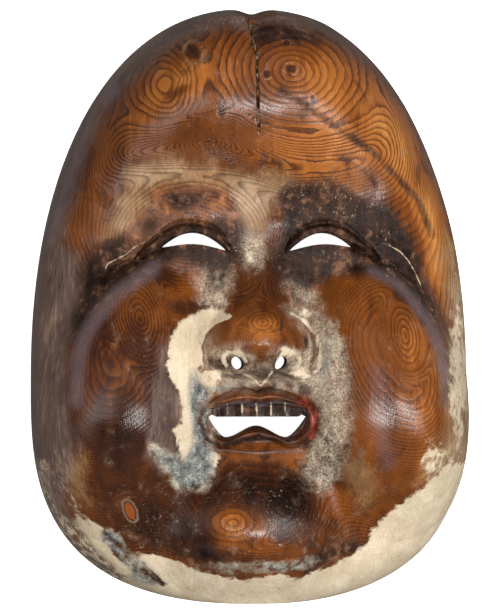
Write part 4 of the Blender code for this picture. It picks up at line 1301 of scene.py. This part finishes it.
def mark_inside(mask):
    """Stores for each face whether it belongs to the hollow, the rim or the walls of an opening."""
    mesh = mask.data
    middles = np.empty(len(mesh.polygons) * 3, np.float32)
    mesh.polygons.foreach_get("center", middles)
    normals = np.empty(len(mesh.polygons) * 3, np.float32)
    mesh.polygons.foreach_get("normal", normals)
    x, y, z = middles.reshape(-1, 3).T.astype(float)
    below = z < front_height(x, y) - INSIDE_GAP
    store(mesh, "inside", below & (normals[2::3] < INSIDE_LEAN), "FACE")


class Painter:
    """Adds shader nodes to a material, each linked to what it is given."""

    def __init__(self, name):
        self.material = bpy.data.materials.new(name)
        self.material.use_nodes = True
        self.nodes = self.material.node_tree.nodes
        self.links = self.material.node_tree.links
        self.shader = self.nodes["Principled BSDF"]
        self.noises = {}

    def put(self, value, socket):
        if isinstance(value, bpy.types.NodeSocket):
            self.links.new(value, socket)
        else:
            socket.default_value = value

    def stored(self, name):
        node = self.nodes.new("ShaderNodeAttribute")
        node.attribute_name = name
        return node.outputs["Fac"]

    def math(self, operation, first, second=0.0):
        node = self.nodes.new("ShaderNodeMath")
        node.operation = operation
        self.put(first, node.inputs[0])
        self.put(second, node.inputs[1])
        return node.outputs[0]

    def plus(self, first, second):
        return self.math("ADD", first, second)

    def times(self, first, second):
        return self.math("MULTIPLY", first, second)

    def larger(self, first, second):
        return self.math("MAXIMUM", first, second)

    def less_one(self, value):
        return self.math("SUBTRACT", 1.0, value)

    def ramp(self, value, low, high, start=0.0, end=1.0):
        """A smooth rise from start to end while the value goes from low to high."""
        node = self.nodes.new("ShaderNodeMapRange")
        node.interpolation_type = "SMOOTHSTEP"
        self.put(value, node.inputs["Value"])
        self.put(low, node.inputs["From Min"])
        self.put(high, node.inputs["From Max"])
        self.put(start, node.inputs["To Min"])
        self.put(end, node.inputs["To Max"])
        return node.outputs["Result"]

    def noise(self, name):
        """One of the noises, about 0.5; each is made once."""
        if name not in self.noises:
            scale, detail, roughness, distortion, stretch = NOISES[name]
            node = self.nodes.new("ShaderNodeTexNoise")
            node.inputs["Scale"].default_value = scale
            node.inputs["Detail"].default_value = detail
            node.inputs["Roughness"].default_value = roughness
            node.inputs["Distortion"].default_value = distortion
            place = self.nodes.new("ShaderNodeTexCoord").outputs["Object"]
            if stretch:
                mapping = self.nodes.new("ShaderNodeMapping")
                mapping.inputs["Scale"].default_value = stretch
                self.links.new(place, mapping.inputs["Vector"])
                place = mapping.outputs["Vector"]
            self.links.new(place, node.inputs["Vector"])
            self.noises[name] = node.outputs["Fac"]
        return self.noises[name]

    def mixed(self, name):
        """A mix of noises."""
        total = None
        for noise, share in MIXES[name]:
            part = self.noise(noise) if share == 1.0 else self.times(self.noise(noise), share)
            total = part if total is None else self.plus(total, part)
        return total

    def swing(self, noise, amount):
        """A noise about 0, which reaches as far as the amount allows."""
        return self.times(self.math("SUBTRACT", noise, 0.5), amount)

    def ragged(self, name):
        """A stored layer with its edge broken up by noise."""
        amount, soft = EDGES[name]
        shifted = self.plus(self.stored(name), self.swing(self.mixed(name), amount))
        return self.ramp(shifted, 0.5 - soft, 0.5 + soft)

    def blend(self, share, first, second):
        node = self.nodes.new("ShaderNodeMix")
        node.data_type = "RGBA"
        self.put(share, node.inputs[0])
        self.put(first, node.inputs[6])
        self.put(second, node.inputs[7])
        return node.outputs[2]

    def between(self, share, first, second):
        """A number between two others."""
        node = self.nodes.new("ShaderNodeMix")
        node.data_type = "FLOAT"
        self.put(share, node.inputs[0])
        self.put(first, node.inputs[2])
        self.put(second, node.inputs[3])
        return node.outputs[0]

    def cover(self, colour, name, share, layer):
        """The colour with a layer over it, as fully as the layer's name says."""
        return self.blend(self.times(share, COVER[name]), colour, layer)

    def colours(self, value, stops):
        """A row of colours along a value, each stop as its place and its colour."""
        node = self.nodes.new("ShaderNodeValToRGB")
        node.color_ramp.interpolation = "EASE"
        points = node.color_ramp.elements
        while len(points) < len(stops):
            points.new(0.5)
        for point, (place, colour) in zip(points, stops):
            point.position = place
            point.color = colour
        self.put(value, node.inputs["Fac"])
        return node.outputs["Color"]


def ring_lines(paint):
    """Thin dark late wood of each ring, soft on its inner side, and the place within the ring."""
    ring = paint.plus(paint.stored("ring"), paint.times(paint.noise("ring_wander"), RING_WANDER))
    ring = paint.plus(ring, paint.times(paint.noise("ring_tremble"), RING_TREMBLE))
    part = paint.math("FRACT", ring)
    end = paint.less_one(paint.ramp(part, *LATE_WOOD_FALL))
    line = paint.times(paint.ramp(part, *LATE_WOOD_RISE), end)
    return paint.times(line, paint.ramp(paint.noise("ring_wear"), *RING_WEAR)), part


def wood_colour(paint, lines, part, grain, bare):
    """Oiled brown wood with its rings, and the bare paler wood where the lacquer has worn off; its tone
    holds some painted light and shade, and the paler wood a painted highlight between the brows.
    """
    tone = paint.stored("tone")
    for noise, amount in TONE_SWINGS:
        tone = paint.plus(tone, paint.swing(paint.noise(noise), amount))
    tone = paint.plus(tone, paint.times(paint.math("SUBTRACT", RING_MIDDLE, part), RING_SWING))
    wood = paint.cover(paint.colours(tone, WOOD_COLOURS), "ring", grain, LATE_WOOD)
    wood = paint.cover(wood, "drift", paint.ramp(paint.noise("drift"), *DRIFT_RAMP), LATE_WOOD)
    bare_tone = paint.mixed("bare_tone")
    # Paler worn wood, with a painted highlight between the brows
    worn = paint.times(paint.stored("pale"), paint.ramp(paint.noise("blotch"), *PALE_RAMP))
    pale = paint.blend(worn, paint.colours(bare_tone, BARE_COLOURS), paint.colours(bare_tone, PALE_COLOURS))
    pale = paint.cover(pale, "ring_on_bare", lines, BARE_LINE)
    return paint.cover(wood, "bare", bare, pale)


def gesso_layer(paint):
    """Share and colour of the gesso: cream where it is clean, blue-grey where it is dirty."""
    ragged = paint.noise("ragged")
    speckled = paint.times(paint.ragged("speckled"), paint.ramp(ragged, *SPECKLE_RAMP))
    cream = paint.times(paint.ragged("cream"), paint.less_one(paint.times(speckled, COVER["speckled"])))
    blue = paint.ragged("blue")
    cream_colour = paint.colours(paint.mixed("cream_tone"), CREAM_COLOURS)
    blue_colour = paint.colours(paint.mixed("blue_tone"), BLUE_COLOURS)
    share = paint.larger(cream, paint.times(blue, paint.ramp(ragged, *BLUE_RAMP)))
    return share, paint.blend(blue, cream_colour, blue_colour)


def small_marks(paint, colour):
    """Flecks of gesso and the pale cracks beside the eyes."""
    ragged = paint.noise("ragged")
    speck = paint.times(paint.stored("fleck"), paint.ramp(paint.noise("speck"), *SPECK_RAMP))
    line = paint.plus(paint.stored("cream_line"), paint.times(ragged, CREAM_LINE_WANDER))
    line = paint.less_one(paint.ramp(paint.math("ABSOLUTE", line), *CREAM_LINE_EDGE))
    line = paint.times(line, paint.stored("cream_line_near"))
    line = paint.times(line, paint.ramp(ragged, *CREAM_LINE_WEAR))
    speck = paint.larger(paint.times(speck, SPECK_STRENGTH), line)
    return paint.blend(paint.math("MINIMUM", speck, COVER["speck"]), colour, FLECK)


def knots(paint, colour, name, core_colour, border_colour):
    """The cores and the borders of the knots of one kind."""
    wander, core_edge, border_start, border_end = KNOTS[name]
    distance = paint.plus(paint.stored(name), paint.swing(paint.noise("ragged"), wander))
    core = paint.less_one(paint.ramp(distance, *core_edge))
    border = paint.less_one(paint.ramp(distance, *border_end))
    border = paint.times(paint.ramp(distance, *border_start), border)
    colour = paint.cover(colour, "knot", core, core_colour)
    return paint.cover(colour, f"{name}_border", border, border_colour)


def face_material():
    paint = Painter("old_wood_face")
    lines, part = ring_lines(paint)
    grain = paint.times(lines, paint.stored("grain"))
    bare = paint.ragged("bare")
    film = paint.ragged("film")
    wash = paint.ragged("wash")
    soot_and_painted_shade = paint.ragged("soot_and_painted_shade")
    colour = wood_colour(paint, lines, part, grain, bare)
    for name, share, palette in (
        ("rust", paint.ragged("rust"), RUST_COLOURS),
        ("film", film, FILM_COLOURS),
        ("wash", wash, WASH_COLOURS),
        # soot and black paint, with painted shade in the creases under the eyes and under the upper lip
        ("soot_and_painted_shade", soot_and_painted_shade, SOOT_AND_PAINTED_SHADE_COLOURS),
    ):
        colour = paint.cover(colour, name, share, paint.colours(paint.mixed(f"{name}_tone"), palette))
    fine_fibre = paint.noise("fine_fibre")
    # Painted sheen: paler strokes laid where reflections of the soft boxes would be
    colour = paint.blend(paint.times(paint.stored("painted_sheen"), paint.ramp(fine_fibre, *PAINTED_SHEEN_RAMP)), colour, PAINTED_SHEEN)
    gesso_share, gesso = gesso_layer(paint)
    colour = paint.cover(colour, "gesso", gesso_share, gesso)
    red = paint.colours(paint.mixed("red_tone"), RED_COLOURS)
    colour = paint.cover(colour, "red", paint.ragged("red"), red)
    colour = small_marks(paint, colour)

    ragged = paint.noise("ragged")
    crack_colour = paint.colours(paint.mixed("crack_tone"), CRACK_COLOURS)
    gap = paint.math("ABSOLUTE", paint.plus(paint.stored("crack"), paint.swing(ragged, CRACK_WANDER)))
    crack = paint.times(paint.less_one(paint.ramp(gap, *CRACK_LINE_EDGE)), paint.stored("crack_near"))
    colour = paint.blend(crack, colour, crack_colour)
    colour = knots(paint, colour, "dark_knot", LATE_WOOD, crack_colour)
    colour = knots(paint, colour, "red_knot", RED_KNOT, FLECK)
    inner = paint.stored("inside")
    colour = paint.blend(inner, colour, paint.colours(paint.mixed("inside_tone"), INSIDE_COLOURS))
    paint.put(colour, paint.shader.inputs["Base Color"])

    rough = paint.ramp(paint.noise("broad"), *WOOD_ROUGHNESS)
    for share, roughness in (
        (film, paint.ramp(paint.noise("fibre"), *FILM_ROUGHNESS)),
        (bare, BARE_ROUGHNESS),
        (soot_and_painted_shade, paint.ramp(ragged, *SOOT_ROUGHNESS)),
        (gesso_share, GESSO_ROUGHNESS),
        (inner, INSIDE_ROUGHNESS),
    ):
        rough = paint.between(share, rough, roughness)
    paint.put(rough, paint.shader.inputs["Roughness"])
    dull = paint.larger(paint.math("MINIMUM", paint.stored("dull"), 1.0), soot_and_painted_shade)
    dull = paint.larger(dull, paint.larger(gesso_share, wash))
    paint.put(paint.between(dull, *SHINE), paint.shader.inputs["Specular IOR Level"])

    relief = paint.plus(paint.times(grain, RING_RELIEF), paint.times(fine_fibre, FIBRE_RELIEF))
    relief = paint.plus(relief, paint.times(gesso_share, GESSO_RELIEF))
    crusted = paint.times(paint.larger(soot_and_painted_shade, gesso_share), RAGGED_RELIEF)
    relief = paint.plus(relief, paint.times(ragged, crusted))
    relief = paint.plus(relief, paint.times(crack, CRACK_RELIEF))
    bump = paint.nodes.new("ShaderNodeBump")
    bump.inputs["Distance"].default_value = RELIEF_DEPTH
    bump.inputs["Strength"].default_value = RELIEF_STRENGTH
    paint.links.new(relief, bump.inputs["Height"])
    paint.links.new(bump.outputs["Normal"], paint.shader.inputs["Normal"])
    return paint.material


def add_floor():
    bpy.ops.mesh.primitive_plane_add(size=FLOOR_SIZE)
    floor = bpy.context.object
    floor.name = "floor"
    material = bpy.data.materials.new("pale_floor")
    material.use_nodes = True
    shader = material.node_tree.nodes["Principled BSDF"]
    shader.inputs["Base Color"].default_value = (FLOOR_GREY, FLOOR_GREY, FLOOR_GREY, 1.0)
    shader.inputs["Roughness"].default_value = FLOOR_ROUGHNESS
    shader.inputs["Emission Color"].default_value = (1.0, 1.0, 1.0, 1.0)
    shader.inputs["Emission Strength"].default_value = 1.0
    floor.data.materials.append(material)
    floor.visible_diffuse = False
    floor.visible_glossy = False


def add_camera():
    data = bpy.data.cameras.new("camera")
    camera = bpy.data.objects.new("camera", data)
    bpy.context.scene.collection.objects.link(camera)
    camera.location = (
        -CAMERA_DISTANCE * math.sin(CAMERA_TURN),
        0.0,
        TARGET_HEIGHT + CAMERA_DISTANCE * math.cos(CAMERA_TURN),
    )
    camera.rotation_euler = (0.0, -CAMERA_TURN, 0.0)
    data.sensor_width = SENSOR * 1000.0
    data.lens = data.sensor_width * CAMERA_DISTANCE * PIXELS_PER_METRE / PHOTO_SIZE[1]
    target_u, target_v = photo_place(0.0, 0.0, TARGET_HEIGHT)
    data.shift_x = (PHOTO_SIZE[0] / 2.0 - target_u) / PHOTO_SIZE[1]
    data.shift_y = (target_v - PHOTO_SIZE[1] / 2.0) / PHOTO_SIZE[1]
    data.clip_start = CLIP_START
    bpy.context.scene.camera = camera


def add_soft_box(name, place, size, power):
    data = bpy.data.lights.new(name, "AREA")
    data.shape = "RECTANGLE"
    data.size = size[0]
    data.size_y = size[1]
    data.energy = power
    light = bpy.data.objects.new(name, data)
    bpy.context.scene.collection.objects.link(light)
    light.location = place
    light.rotation_euler = (Vector(LIGHT_AIM) - Vector(place)).to_track_quat("-Z", "Y").to_euler()
    return light


def add_lights():
    boxes = [add_soft_box(*light) for light in LIGHTS]
    boxes[-1].visible_glossy = False
    world = bpy.data.worlds.new("studio")
    world.use_nodes = True
    background = world.node_tree.nodes["Background"]
    background.inputs["Color"].default_value = (1.0, 1.0, 1.0, 1.0)
    background.inputs["Strength"].default_value = WORLD_STRENGTH
    bpy.context.scene.world = world
    bpy.context.scene.view_settings.view_transform = "Standard"


mask = carve_mask()
paint_attributes(mask)
mask.data.materials.clear()
mark_inside(mask)
mask.data.materials.append(face_material())
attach(mask, "root")
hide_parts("mask")
add_floor()
add_camera()
add_lights()

print("triangles", sum(len(face.vertices) - 2 for face in mask.data.polygons))
